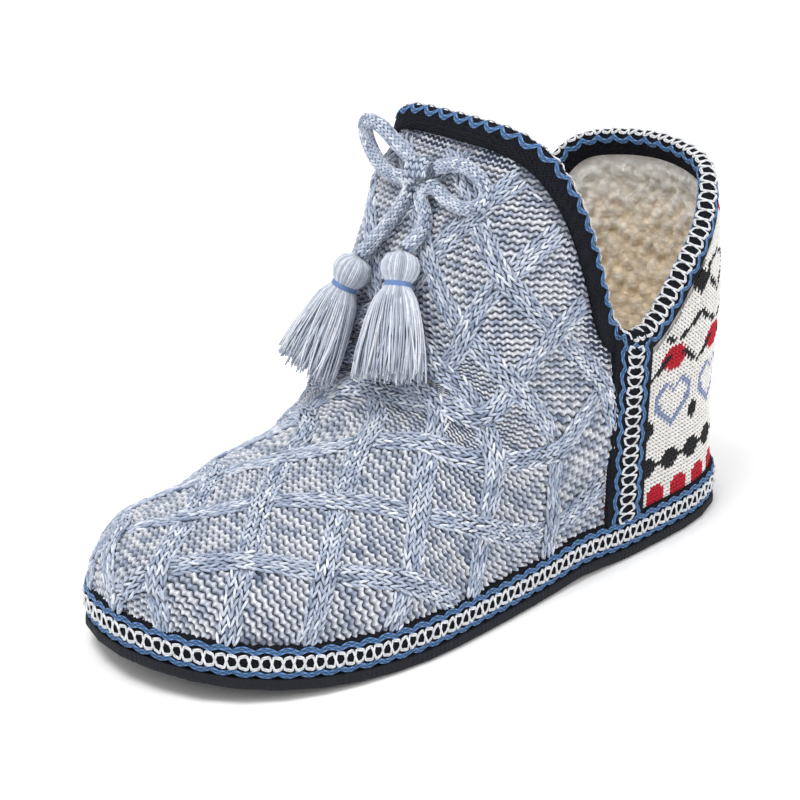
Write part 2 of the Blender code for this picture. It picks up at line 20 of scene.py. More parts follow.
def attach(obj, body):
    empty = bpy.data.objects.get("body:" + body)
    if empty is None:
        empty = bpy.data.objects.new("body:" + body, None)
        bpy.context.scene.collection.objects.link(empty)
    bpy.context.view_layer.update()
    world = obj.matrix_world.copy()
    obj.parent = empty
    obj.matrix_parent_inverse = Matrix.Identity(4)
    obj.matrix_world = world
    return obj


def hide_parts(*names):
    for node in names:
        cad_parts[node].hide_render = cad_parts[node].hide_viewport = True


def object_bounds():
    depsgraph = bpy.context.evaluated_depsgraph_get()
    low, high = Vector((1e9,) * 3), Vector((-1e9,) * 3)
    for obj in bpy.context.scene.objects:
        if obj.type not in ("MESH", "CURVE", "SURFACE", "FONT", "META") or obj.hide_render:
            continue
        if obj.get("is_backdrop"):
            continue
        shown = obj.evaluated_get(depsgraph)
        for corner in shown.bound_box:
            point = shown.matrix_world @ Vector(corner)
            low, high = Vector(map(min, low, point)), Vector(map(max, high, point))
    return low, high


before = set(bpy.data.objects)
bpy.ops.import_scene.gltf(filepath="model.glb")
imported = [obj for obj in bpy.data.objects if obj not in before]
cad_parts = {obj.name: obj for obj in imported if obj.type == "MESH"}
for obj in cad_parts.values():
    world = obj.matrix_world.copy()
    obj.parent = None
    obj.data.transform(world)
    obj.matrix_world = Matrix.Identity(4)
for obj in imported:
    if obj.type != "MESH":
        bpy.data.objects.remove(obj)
CAD_BOX = [[float(x) for x in corner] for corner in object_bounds()]
rng = np.random.default_rng(7)
MM = 0.001
print("frame:", sorted(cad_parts))

# %% [markdown]
# ## Camera
# A product photo is taken with a long lens from a little above. The camera stands where the photo's
# stood and turns towards the shoe's middle, so the perspective is the same.

# %% Camera
CAMERA_AT = Vector((0.5694, 0.5922, 0.3754))
CAMERA_AIM = Vector((0.0081, -0.0038, 0.0620))
LENS, SENSOR = 117.0, 36.0


def show(name, data, material=None):
    """A new object at the origin from a mesh, a lamp or a camera."""
    thing = bpy.data.objects.new(name, data)
    bpy.context.scene.collection.objects.link(thing)
    if material:
        data.materials.append(material)
    return thing


def aim_at(thing, place, target):
    thing.location = place
    thing.rotation_euler = (Vector(target) - Vector(place)).to_track_quat("-Z", "Y").to_euler()


camera_data = bpy.data.cameras.new("camera")
camera_data.sensor_width, camera_data.lens = SENSOR, LENS
camera_data.clip_start, camera_data.clip_end = 0.01, 20.0
camera = show("camera", camera_data)
aim_at(camera, CAMERA_AT, CAMERA_AIM)
bpy.context.scene.camera = camera
print("camera distance in m:", round((CAMERA_AIM - CAMERA_AT).length, 3))

# %% [markdown]
# ## The foot shape
# A shoemaker starts from a last. Here it is a function: a place along the foot and an angle up the
# side give a point. Its sizes are the ones that the solids were made from.

# %% Sizes in metres
LENGTH, BALL_WIDTH = 0.256, 0.106
TONGUE_HEIGHT, HEEL_HEIGHT, SIDE_HEIGHT, INSTEP_HEIGHT = 0.156, 0.131, 0.080, 0.070
ANKLE_FLARE, TOE_SPRING, ARCH_RISE, TOE_TURN = 1.06, 0.008, 0.0012, 0.002
ARCH_AT, ARCH_SPAN = 0.375, 0.085
WALL, BAND_TOP, TAPE_WIDTH, BINDING_DEPTH = 0.003, 0.0148, 0.021, 0.0105
PLAN = (
    (0.000, 0.00, 0.00), (0.030, 0.46, 0.46), (0.110, 0.70, 0.70), (0.240, 0.79, 0.77),
    (0.400, 0.84, 0.80), (0.560, 0.94, 0.92), (0.700, 1.00, 1.00), (0.830, 0.93, 0.95),
    (0.920, 0.75, 0.77), (0.975, 0.46, 0.48), (1.000, 0.00, 0.00))
RIDGE = (
    (1.000, 0.370, 0.00), (0.975, 0.490, 0.00), (0.920, 0.570, 0.00), (0.840, 0.645, 0.00),
    (0.740, 0.730, 0.00), (0.640, 0.830, 0.00), (0.575, 1.000, 0.00), (0.540, 1.000, 0.23),
    (0.512, 1.000, 0.50), (0.483, 1.000, 0.76), (0.442, 1.000, 1.00))
RIDGE_BACK_SLOPE = 2.6
COLLAR_FRONT = ((0.442, 1.000), (0.413, 0.855), (0.379, 0.610), (0.353, 0.340), (0.332, 0.115), (0.291, 0.0))
COLLAR_BACK = ((0.291, 0.0), (0.240, 0.085), (0.160, 0.440), (0.070, 0.850), (0.000, 1.000))
HEEL_LEAN = ((0.00, 0.0), (0.107, 0.0), (0.333, 0.008), (0.63, 0.002), (0.85, 0.022), (1.04, 0.105))
HEEL_REACH, HEEL_WAIST = 0.30, (0.333, 0.163, 0.05)
SECTION_POWER, FLAP_SQUARE, FLAP_FROM, FLAP_TO = 2.41, 0.52, 0.80, 0.45


# %% Rows and tables of points
def unit(vectors):
    """The same directions with length 1."""
    return vectors / (np.linalg.norm(vectors, axis=-1, keepdims=True) + 1e-12)


def run_of(points):
    """Distance along a row of points, from its first."""
    return np.concatenate([[0.0], np.cumsum(np.linalg.norm(np.diff(points, axis=0), axis=1))])


def look_up(wanted, run, table):
    """Rows of a table at the wanted distances along its run."""
    return np.stack([np.interp(wanted, run, table[:, k]) for k in range(table.shape[1])], -1)


def even(points, count):
    """Points at equal steps along a polyline."""
    run = run_of(points)
    return look_up(np.linspace(0.0, run[-1], count), run, points)


def soften(rows, passes, middle=2):
    """Rows drawn towards their neighbours pass by pass; the first and the last stay."""
    rows = rows.copy()
    for _ in range(passes):
        rows[1:-1] = (rows[:-2] + middle * rows[1:-1] + rows[2:]) / (middle + 2)
    return rows


def soften_ring(rows, passes, middle):
    for _ in range(passes):
        rows = (np.roll(rows, 1, 0) + middle * rows + np.roll(rows, -1, 0)) / (middle + 2)
    return rows


def between(tables, x, y):
    """Tables of points read between their rows x and their columns y."""
    rows, cols = tables[0].shape[:2]
    i, j = np.minimum(x.astype(int), rows - 2), np.minimum(y.astype(int), cols - 2)
    fx, fy = (x - i)[..., None], (y - j)[..., None]
    return [(t[i, j] * (1 - fx) + t[i + 1, j] * fx) * (1 - fy)
            + (t[i, j + 1] * (1 - fx) + t[i + 1, j + 1] * fx) * fy for t in tables]


def nearest_in(points):
    """A tree that finds the nearest of the points."""
    tree = KDTree(len(points))
    for k, point in enumerate(points):
        tree.insert(point, k)
    tree.balance()
    return tree


@functools.cache
def grid_quads(columns, rows, ring_columns=False, ring_rows=False):
    """Quads of a table of points, from the grid operator; a ring joins its last edge to its first."""
    bm = bmesh.new()
    bmesh.ops.create_grid(bm, x_segments=rows - 1 + ring_rows, y_segments=columns - 1 + ring_columns, size=1.0)
    bm.verts.index_update()
    corners = np.array([[v.index for v in f.verts] for f in bm.faces])
    bm.free()
    column, row = corners // (rows + ring_rows), corners % (rows + ring_rows)
    return column % columns * rows + row % rows


def facing(quads, places, normals, sense=1):
    """Quads that face along the normals, or against them when sense is -1."""
    quads = np.roll(quads[:, ::-1], 1, axis=1)
    p, q, r = places[quads[:, 0]], places[quads[:, 1]], places[quads[:, 3]]
    against = sense * (np.cross(q - p, r - p) * normals[quads[:, 0]]).sum() < 0
    return quads[:, ::-1] if against else quads


print("quads of a ring of 5 by 4:", len(grid_quads(5, 4, True)))

# %% Smooth curves through short tables
def spline(rows, steps=30):
    """A smooth curve through the rows, with `steps` parts between two rows."""
    rows = np.asarray(rows, float)
    ends = np.vstack([2 * rows[0] - rows[1], rows, 2 * rows[-1] - rows[-2]])
    t = np.linspace(0.0, 1.0, steps, endpoint=False)[:, None]
    parts = [0.5 * (2 * b + (c - a) * t + (2 * a - 5 * b + 4 * c - d) * t ** 2
                    + (3 * b - a - 3 * c + d) * t ** 3)
             for a, b, c, d in zip(ends[:-3], ends[1:-2], ends[2:-1], ends[3:])]
    return np.vstack(parts + [rows[-1:]])


def plan_half(side):
    here, there = (1, 2) if side > 0 else (2, 1)
    half = BALL_WIDTH / 2
    loop = [(row[0] * LENGTH, side * half * row[here]) for row in PLAN]
    mirror = [(row[0] * LENGTH, -side * half * row[there]) for row in PLAN]
    curve = spline([mirror[1]] + loop + [mirror[-2]], 40)[40:-40]
    curve[:, 0] = np.maximum.accumulate(curve[:, 0])
    return curve


PLANS = {side: plan_half(side) for side in (1, -1)}
RIDGE_LINE = spline([(a * LENGTH, b * INSTEP_HEIGHT + c * (TONGUE_HEIGHT - INSTEP_HEIGHT))
                     for a, b, c in RIDGE])[::-1]
COLLAR_LINE = np.vstack([
    spline([(a * LENGTH, SIDE_HEIGHT + b * (TONGUE_HEIGHT - SIDE_HEIGHT)) for a, b in COLLAR_FRONT])[:-1],
    spline([(a * LENGTH, SIDE_HEIGHT + b * (HEEL_HEIGHT - SIDE_HEIGHT)) for a, b in COLLAR_BACK])])
PEAK_X, SEAM_X = COLLAR_FRONT[0][0] * LENGTH, COLLAR_BACK[0][0] * LENGTH


# %% The foot as a function
def lift(x):
    """Height of the sole over the floor: an arch, then the toe spring."""
    share = x / LENGTH
    toe = np.clip((share - 0.70) / 0.30, 0.0, 1.0)
    arch = np.clip(1.0 - abs(share - ARCH_AT) / ARCH_SPAN, 0.0, 1.0)
    return TOE_SPRING * toe ** 2 + ARCH_RISE * arch ** 2 * (3 - 2 * arch)


def ridge_height(x):
    inside = np.interp(x, RIDGE_LINE[:, 0], RIDGE_LINE[:, 1])
    return inside + np.maximum(PEAK_X - x, 0.0) * RIDGE_BACK_SLOPE


def turn(x):
    return -TOE_TURN * np.clip((x / LENGTH - 0.45) / 0.55, 0.0, 1.0) ** 2


def flap_power(x):
    return 1 - FLAP_SQUARE * np.clip((FLAP_FROM - x / LENGTH) / (FLAP_FROM - FLAP_TO), 0.0, 1.0)


def flare(x, z):
    behind = np.clip((0.62 - x / LENGTH) / 0.35, 0.0, 1.0)
    behind = behind * behind * (3 - 2 * behind)
    return 1 + (ANKLE_FLARE - 1) * behind * np.clip((z - BAND_TOP) / (SIDE_HEIGHT - BAND_TOP), 0.0, 1.0)


def half_width(side, x):
    return np.interp(x, PLANS[side][:, 0], PLANS[side][:, 1])


def skin(side, x, angle):
    """A point of the knit's outer face; the angle runs from 0 at the sole band to a quarter turn."""
    x, angle = np.broadcast_arrays(np.asarray(x, float), np.asarray(angle, float))
    sine, cosine = np.clip(np.sin(angle), 0, 1), np.clip(np.cos(angle), 0, 1)
    z = BAND_TOP + (ridge_height(x) - BAND_TOP) * sine ** (2 / SECTION_POWER)
    y = half_width(side, x) * cosine ** flap_power(x) * flare(x, z)
    back = np.clip(1 - x / LENGTH / HEEL_REACH, 0.0, 1.0)
    level, spread, pull = HEEL_WAIST
    y = y * (1 - pull * back * np.exp(-((z / HEEL_HEIGHT - level) / spread) ** 2))
    lean = np.array(HEEL_LEAN) * HEEL_HEIGHT
    return np.stack([x + back * np.interp(z, lean[:, 0], lean[:, 1]) - LENGTH / 2, y + turn(x), z + lift(x)], -1)


def unskin(side, point):
    """The x and angle of points near the front of the foot."""
    x = np.minimum(point[..., 0] + LENGTH / 2, LENGTH * 0.99995)
    z = point[..., 2] - lift(x)
    rise = np.clip((z - BAND_TOP) / (ridge_height(x) - BAND_TOP), 0.0, 1.0)
    wide = np.clip((point[..., 1] - turn(x)) / (half_width(side, x) * flare(x, z)), 0.0, 1.0)
    return x, np.arctan2(rise ** (SECTION_POWER / 2), wide ** (1 / flap_power(x)))


def angle_at(x, z):
    rise = np.clip((z - BAND_TOP) / (ridge_height(x) - BAND_TOP), 0.0, 1.0)
    return np.arcsin(rise ** (SECTION_POWER / 2))


# %% [markdown]
# ## Two panels
# The knitter's front panel reaches from one side seam over the toe to the other, and the heel panel
# reaches round the back. Each panel is kept as a fine table of places and outward directions, so that
# every stitch can look up where it lies.

# %% The front panel's four edges
UNDER = 0.002            # how far a panel reaches under the ribbon beside it
FRONT_EDGE = SEAM_X + TAPE_WIDTH / 2 - UNDER
FINE = 400


def front_frame(side):
    collar = COLLAR_LINE[COLLAR_LINE[:, 0] >= FRONT_EDGE]
    ends = [FRONT_EDGE, np.interp(FRONT_EDGE, COLLAR_LINE[::-1, 0], COLLAR_LINE[::-1, 1])]
    collar = np.vstack([collar, ends])
    top = np.stack([collar[:, 0], angle_at(collar[:, 0], collar[:, 1])], -1)
    top[0, 1] = math.pi / 2
    middle = np.vstack([np.linspace((LENGTH, 0.0), (LENGTH, math.pi / 2), 60),
                        np.linspace((LENGTH, math.pi / 2), (PEAK_X, math.pi / 2), 600)])
    edge = np.linspace((FRONT_EDGE, 0.0), top[-1], 300)
    base = np.linspace((LENGTH, 0.0), (FRONT_EDGE, 0.0), 900)
    return [even(skin(side, path[:, 0], path[:, 1]), FINE) for path in (middle, edge, base, top)]


FRONT_FRAMES = {side: front_frame(side) for side in (1, -1)}


def share_of(table, share):
    return look_up(np.clip(share, 0.0, 1.0) * (len(table) - 1), np.arange(len(table)), table)


def front_half(side, out, up):
    """Half of the front panel: out runs from the middle line to the side seam, up from sole to collar."""
    middle, edge, base, top = FRONT_FRAMES[side]
    o, w = out[..., None], up[..., None]
    across = (1 - o) * share_of(middle, up) + o * share_of(edge, up)
    rise = (1 - w) * share_of(base, out) + w * share_of(top, out)
    corners = (1 - w) * ((1 - o) * middle[0] + o * edge[0]) + w * ((1 - o) * middle[-1] + o * edge[-1])
    x, angle = unskin(side, across + rise - corners)
    return np.where(o < 1e-9, share_of(middle, up), skin(side, x, angle))


# %% Tables of the two panels
HEM = 0.0030             # how far both panels reach down behind the sole ribbon


def with_hem(points):
    """Add a row of points straight below the first row of a panel."""
    low = points[:, :1].copy()
    low[..., 2] -= HEM
    return np.concatenate([low, points], axis=1)


def outward(points):
    """Unit directions square to a table of places, away from the foot."""
    across, along = np.gradient(points, axis=0), np.gradient(points, axis=1)
    normal = unit(np.cross(across, along))
    inward = points - np.array([0.0, 0.0, 0.055])
    inward[..., 0] *= 0.25
    if (normal * inward).sum() < 0:
        normal = -normal
    passes = 6                  # softened both ways, so that no facet of the tables shows
    return unit(soften(soften(normal, passes).swapaxes(0, 1), passes).swapaxes(0, 1))


class Panel:
    """A table of places and outward directions over two shares from 0 to 1."""

    def __init__(self, points):
        self.points, self.normals = points, outward(points)
        self.shape = points.shape[:2]
        self.lengths = np.linalg.norm(np.diff(points, axis=1), axis=-1).sum(axis=1)

    def at(self, a, b, out=0.0):
        """Places over the panel at shares a and b, lifted `out` off it."""
        rows, cols = self.shape
        x, y = np.clip(a, 0, 1) * (rows - 1), np.clip(b, 0, 1) * (cols - 1)
        place, normal = between((self.points, self.normals), x, y)
        normal = unit(normal)
        return place + normal * np.asarray(out)[..., None], normal


out_share = np.linspace(-1.0, 1.0, 401)[:, None]
up_share = np.linspace(0.0, 1.0, 301)[None]
outs, ups = np.broadcast_arrays(out_share, up_share)
left_half, right_half = (front_half(side, abs(outs), ups) for side in (1, -1))
FRONT = Panel(with_hem(np.where(outs[..., None] >= 0, left_half, right_half)))


def back_column(side, x, count=241):
    high = angle_at(x, np.interp(x, COLLAR_LINE[::-1, 0], COLLAR_LINE[::-1, 1]))
    angle = np.linspace(0.0, float(high), 400)
    return even(skin(side, np.full(400, x), angle), count)


def back_table(front_x, count):
    """Upright columns from the left side seam round the heel to the right one."""
    columns = []
    for side in (1, -1):
        x = np.linspace(front_x, 0.0, 1200)
        base = skin(side, x, np.zeros_like(x))
        stations = np.interp(np.linspace(0, run_of(base)[-1], count), run_of(base), x)
        half = [back_column(side, xx) for xx in stations]
        columns.append(half if side > 0 else half[-2::-1])
    return np.array(columns[0] + columns[1])


BACK = Panel(with_hem(back_table(SEAM_X + TAPE_WIDTH / 2, 180)))
print("front panel girth in mm:", round(run_of(FRONT.points[:, 1])[-1] / MM),
      "heel panel girth in mm:", round(run_of(BACK.points[:, 1])[-1] / MM))

# %% [markdown]
# ## Helpers for yarn
# A knit is one small loop repeated thousands of times. One closed grain is made with a bmesh operator
# and laid out by arrays into one joined mesh, which is far quicker than thousands of objects. Each
# point carries its yarn's colour, so that a pattern follows the stitches, and on some pieces painted light
# and shade as well.

# %% Colour, nodes and joined meshes
def colour(text):
    """An sRGB hex colour as linear red, green, blue and 1."""
    parts = [int(text[k:k + 2], 16) / 255 for k in (1, 3, 5)]
    return tuple(c / 12.92 if c <= 0.04045 else ((c + 0.055) / 1.055) ** 2.4 for c in parts) + (1.0,)


def add(material, kind, links=None, **settings):
    """Add a node; a link may be a number, a colour or another node's socket."""
    node = material.node_tree.nodes.new(kind)
    for key, value in settings.items():
        setattr(node, key, value)
    for key, value in (links or {}).items():
        if isinstance(value, bpy.types.NodeSocket):
            material.node_tree.links.new(value, node.inputs[key])
        else:
            node.inputs[key].default_value = value
    return node


def rgb(text):
    return np.array(colour(text)[:3])


def material_of(name, numbers=None):
    """A material and its shader, with plain numbers set on the shader's sockets."""
    material = bpy.data.materials.new(name)
    material.use_nodes = True
    shader = material.node_tree.nodes["Principled BSDF"]
    for socket, value in (numbers or {}).items():
        shader.inputs[socket].default_value = value
    return material, shader


def ramp(material, value, low, high, high_at=1.0):
    """The colour socket of a ramp between two hex colours."""
    node = add(material, "ShaderNodeValToRGB", {"Fac": value})
    for stop, text in zip(node.color_ramp.elements, (low, high)):
        stop.color = colour(text)
    node.color_ramp.elements[1].position = high_at
    return node.outputs["Color"]


def relief(material, shader, height, strength, distance, invert=False):
    """Bump on the shader's normal."""
    bump = add(material, "ShaderNodeBump",
               {"Height": height, "Strength": strength, "Distance": distance}, invert=invert)
    link(material, bump.outputs[0], shader.inputs["Normal"])


def link(material, start, end):
    material.node_tree.links.new(start, end)


def grain_shape(segments, rings):
    """A closed grain along z from -0.5 to 0.5 and 1 wide, as points and faces."""
    bm = bmesh.new()
    bmesh.ops.create_uvsphere(bm, u_segments=segments, v_segments=rings, radius=0.5)
    bm.verts.ensure_lookup_table()
    shape = np.array([v.co for v in bm.verts]), [[v.index for v in f.verts] for f in bm.faces]
    bm.free()
    return shape


def ridden(name, mesh, material, tint=None):
    """A mesh as a smooth piece of the slipper, with a colour per point when one is given."""
    mesh.polygons.foreach_set("use_smooth", np.full(len(mesh.polygons), True))
    if tint is not None:
        # the colour per point: the yarn's own colour, and on some pieces painted shade and painted light
        layer = mesh.color_attributes.new("yarn", "FLOAT_COLOR", "POINT")
        rgba = np.ones((len(mesh.vertices), 4), np.float32)
        rgba[:, :3] = tint
        layer.data.foreach_set("color", rgba.reshape(-1))
    thing = show(name, mesh, material)
    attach(thing, "root")
    return thing


def mesh_piece(name, points, faces, material, tint=None):
    """A piece from arrays of points and faces."""
    mesh = bpy.data.meshes.new(name)
    points = np.asarray(points, dtype=np.float32)
    sizes, corners = np.array([len(f) for f in faces]), np.array([k for f in faces for k in f])
    mesh.vertices.add(len(points))
    mesh.vertices.foreach_set("co", points.reshape(-1))
    mesh.loops.add(len(corners))
    mesh.loops.foreach_set("vertex_index", corners.astype(np.int32))
    mesh.polygons.add(len(sizes))
    mesh.polygons.foreach_set("loop_start", np.concatenate([[0], np.cumsum(sizes)[:-1]]).astype(np.int32))
    mesh.polygons.foreach_set("loop_total", sizes.astype(np.int32))
    mesh.update(calc_edges=True)
    mesh.validate()
    return ridden(name, mesh, material, tint)


def repeat(shape, places):
    """Faces of one shape repeated; places holds the moved points, one row for each copy."""
    points, faces = shape
    count, each = places.shape[:2]
    starts = np.arange(count)[:, None] * each
    joined = []
    for size in sorted({len(f) for f in faces}):
        few = np.array([f for f in faces if len(f) == size]).reshape(-1)
        joined.append((starts + few[None]).reshape(-1, size))
    rows = [row for block in joined for row in block.tolist()]
    return places.reshape(-1, 3), rows


def grains(shape, centre, along, out, length, width, height):
    """Grains at centres, pointing along, flattened in the direction out."""
    along = unit(along)
    across = unit(np.cross(out, along))
    out = np.cross(along, across)
    local = shape[0]
    return (centre[:, None] + along[:, None] * local[None, :, 2:3] * length
            + across[:, None] * local[None, :, 0:1] * width + out[:, None] * local[None, :, 1:2] * height)


def ring_tube(points, normals, radius, sides, closed=False):
    """Points and faces of a round yarn along a path."""
    points = np.asarray(points, float)
    tangent = np.roll(points, -1, 0) - np.roll(points, 1, 0)
    if not closed:
        tangent[0], tangent[-1] = points[1] - points[0], points[-1] - points[-2]
    tangent = unit(tangent)
    across = unit(np.cross(tangent, normals))
    up = np.cross(across, tangent)
    turn_by = np.arange(sides) * 2 * math.pi / sides
    rings = points[:, None] + radius * (across[:, None] * np.cos(turn_by)[None, :, None]
                                        + up[:, None] * np.sin(turn_by)[None, :, None])
    faces = grid_quads(len(points), sides, closed, True)[:, ::-1].tolist()
    if not closed:
        faces.append(list(range(sides)))
        faces.append([(len(points) - 1) * sides + k for k in reversed(range(sides))])
    return rings.reshape(-1, 3), faces


def join(parts):
    """One list of points and faces, and tints, out of several."""
    points, faces, tints, start = [], [], [], 0
    for part_points, part_faces, tint in parts:
        points.append(part_points)
        faces.extend([[start + k for k in f] for f in part_faces])
        tints.append(np.broadcast_to(tint, (len(part_points), 3)))
        start += len(part_points)
    return np.vstack(points), faces, np.vstack(tints)


print("helpers ready")

# %% [markdown]
# ## Heather yarn
# The slipper's front is knitted in acrylic and wool blend yarn, spun from pale and blue fibres
# together. It is matt with a soft halo of fibres, so the material takes each point's colour, mottles
# it with noise at fibre size, and adds a low sheen and a fine bump.

# %% Yarn materials
LIGHT_HEATHER, MID_HEATHER, DEEP_HEATHER = rgb("#E4E7ED"), rgb("#AAB4C7"), rgb("#76839B")
# painted shade: a fixed dark for the gaps between stitches and other hollows
PAINTED_SHADE = rgb("#2C3345")         # what shows between the stitches
PATCH_SIZE = 1.6 * MM            # lighter and darker stretches of yarn


def yarn_material(name, fibre_mm, bump, mottle):
    """Matt spun yarn: the point's colour, mottled at the size of its fibres."""
    material, shader = material_of(name, {"Sheen Weight": 0.10, "Sheen Roughness": 0.6, "Specular IOR Level": 0.18})
    place = add(material, "ShaderNodeTexCoord").outputs["Object"]
    tint = add(material, "ShaderNodeAttribute", attribute_name="yarn").outputs["Color"]
    fibres = add(material, "ShaderNodeTexNoise",
                 {"Vector": place, "Scale": 1 / (fibre_mm * MM), "Detail": 4.0, "Roughness": 0.7}).outputs["Fac"]
    patches = add(material, "ShaderNodeTexNoise", {"Vector": place, "Scale": 1 / PATCH_SIZE, "Detail": 2.0})
    both = add(material, "ShaderNodeMath", {0: fibres, 1: patches.outputs["Fac"]}, operation="MULTIPLY")
    level = add(material, "ShaderNodeMapRange", {"Value": both.outputs[0], "From Min": 0.10, "From Max": 0.42,
                                                 "To Min": 1 - mottle, "To Max": 1 + mottle * 0.6})
    mixed = add(material, "ShaderNodeVectorMath", {0: tint, 3: level.outputs[0]}, operation="SCALE")
    link(material, mixed.outputs[0], shader.inputs["Base Color"])
    rough = add(material, "ShaderNodeMapRange", {"Value": fibres, "To Min": 0.82, "To Max": 0.98})
    link(material, rough.outputs[0], shader.inputs["Roughness"])
    relief(material, shader, fibres, bump, 0.3 * MM)
    return material


HEATHER_WOOL = yarn_material("heather_knit_yarn", 0.45, 0.45, 0.34)
PATTERN_WOOL = yarn_material("fine_knit_yarn", 0.25, 0.3, 0.14)
RIBBON_YARN = yarn_material("ribbon_yarn", 0.22, 0.4, 0.16)


def heather_of(tone):
    """Heather yarn's colour at tones from 0, deep, to 1, light."""
    tone = np.clip(tone, 0, 1)[..., None]
    return np.where(tone < 0.5, DEEP_HEATHER + (MID_HEATHER - DEEP_HEATHER) * tone * 2,
                    MID_HEATHER + (LIGHT_HEATHER - MID_HEATHER) * (tone * 2 - 1))


def heather(count, spread=1.0):
    """Random heather colours, one for each grain."""
    return heather_of(rng.normal(0.52, 0.30 * spread, count))


print("yarn materials:", HEATHER_WOOL.name, PATTERN_WOOL.name, RIBBON_YARN.name)

# %% [markdown]
# ## Laying the lattice on the front
# The cables cross as a net of diamonds. On a real knit the net is even while the cloth is flat, and
# it bends with the foot. So the panel is first flattened by Blender's unwrap, as a pattern cutter
# would, and the net's crossings, found on the flat cloth in millimetres, steer a smooth map to
# diamond units: s runs across the diamonds and t along the foot, with steep = const and long = const
# as the two families of cables.

# %% Flatten the front panel
FLAT = 49                # columns and rows of the cloth that is flattened
flat_places = np.stack([front_half(1 if u >= 0 else -1, np.full(FLAT, abs(u)), np.linspace(0, 1, FLAT))
                        for u in np.linspace(-1, 1, FLAT)])
bm = bmesh.new()
bmesh.ops.create_grid(bm, x_segments=FLAT - 1, y_segments=FLAT - 1, size=1.0, calc_uvs=True)
flat_order = [(round((v.co.x + 1) / 2 * (FLAT - 1)), round((v.co.y + 1) / 2 * (FLAT - 1))) for v in bm.verts]
for v, (column, row) in zip(bm.verts, flat_order):
    v.co = flat_places[column, row]
cloth = bpy.data.meshes.new("flat_cloth")
bm.to_mesh(cloth)
bm.free()
flat_cloth = show("flat_cloth", cloth)
for other in bpy.context.selected_objects:
    other.select_set(False)
flat_cloth.select_set(True)
bpy.context.view_layer.objects.active = flat_cloth
bpy.ops.object.mode_set(mode="EDIT")
bpy.ops.mesh.select_all(action="SELECT")
bpy.ops.uv.unwrap(method="MINIMUM_STRETCH", iterations=40, margin=0.0)
bpy.ops.object.mode_set(mode="OBJECT")
flat_uv = np.zeros((FLAT, FLAT, 2))
for corner in cloth.loops:
    flat_uv[flat_order[corner.vertex_index]] = cloth.uv_layers.active.data[corner.index].uv
bpy.data.objects.remove(flat_cloth)
d1, d2 = flat_places[1:, 1:] - flat_places[:-1, :-1], flat_places[1:, :-1] - flat_places[:-1, 1:]
e1, e2 = flat_uv[1:, 1:] - flat_uv[:-1, :-1], flat_uv[1:, :-1] - flat_uv[:-1, 1:]
real_area = np.linalg.norm(np.cross(d1, d2), axis=-1).sum()
flat_uv *= math.sqrt(real_area / abs((e1[..., 0] * e2[..., 1] - e1[..., 1] * e2[..., 0]).sum()))
spine = flat_uv[FLAT // 2]
aim = math.atan2(*(spine[-1] - spine[0]))
flat_uv = (flat_uv - spine[0]) @ np.array([[math.cos(aim), -math.sin(aim)], [math.sin(aim), math.cos(aim)]]).T
if flat_uv[-1, FLAT // 2, 0] < 0:
    flat_uv[..., 0] *= -1
flat_uv /= MM
print("middle of the flat front in mm:", np.round(flat_uv[FLAT // 2, -1], 1),
      "left corner:", np.round(flat_uv[-1, 0], 1))

# %% The net's crossings: steep, long, then millimetres over the flat cloth
CROSSINGS = np.array((
    (0, 0, 9.6, 18.5), (1, 0, 25.3, 38.8), (2, 0, 42.1, 54.9), (3, 0, 59.0, 75.3), (1, 1, 7.3, 64.2),
    (2, 1, 26.3, 81.1), (3, 1, 46.2, 94.5), (4, 1, 66.5, 107.7), (5, 1, 98.4, 122.5), (2, 2, 10.5, 108.5),
    (3, 2, 33.7, 120.4), (4, 2, 56.4, 127.7), (5, 2, 80.9, 143.0), (3, 3, 26.1, 135.2), (4, 3, 45.2, 136.5),
    (5, 3, 49.2, 152.0), (6, 3, 58.3, 174.4), (7, 3, 71.6, 194.8), (4, 4, 22.3, 144.9), (5, 4, 28.0, 160.9),
    (6, 4, 34.9, 183.0), (7, 4, 49.7, 208.4), (6, 5, 19.6, 199.5), (7, 5, 31.9, 218.2), (6, 2, 91.2, 169.7),
    (0, 1, -3.1, 42.0), (1, 2, -7.5, 87.0), (0, 2, -22.3, 68.1), (2, 3, -6.0, 130.0), (5, 5, 6.0, 180.0),
    (-1, 1, -16.0, 24.0), (1, 3, -27.0, 112.0)))


def smooth_map(places, values, ease=0.003):
    """A thin plate surface through measured values, slightly eased."""
    def kernel(points):              # thin plate: r squared times log r
        r = np.linalg.norm(points[:, None] - places[None], axis=-1) / 100
        return np.where(r > 0, r * r * np.log(r + 1e-12), 0)

    count = len(places)
    slope = lambda points: np.hstack([np.ones((len(points), 1)), points / 100])
    plane = slope(places)
    system = np.block([[kernel(places) + ease * np.eye(count), plane], [plane.T, np.zeros((3, 3))]])
    solved = np.linalg.solve(system, np.vstack([values, np.zeros((3, values.shape[1]))]))
    return lambda points: kernel(points) @ solved[:count] + slope(points) @ solved[count:]


on_cloth = CROSSINGS[:, 2:]
in_net = np.stack([CROSSINGS[:, 0] - CROSSINGS[:, 1], CROSSINGS[:, 0] + CROSSINGS[:, 1]], -1)
near = CROSSINGS[:, 2] > 6
mirrored = on_cloth[near] * (-1, 1)
free = np.array([np.linalg.norm(on_cloth - m, axis=1).min() > 18 for m in mirrored])
net_map = smooth_map(np.vstack([on_cloth, mirrored[free]]),
                     np.vstack([in_net, (in_net[near] * (-1, 1) + (-1, 0))[free]]))

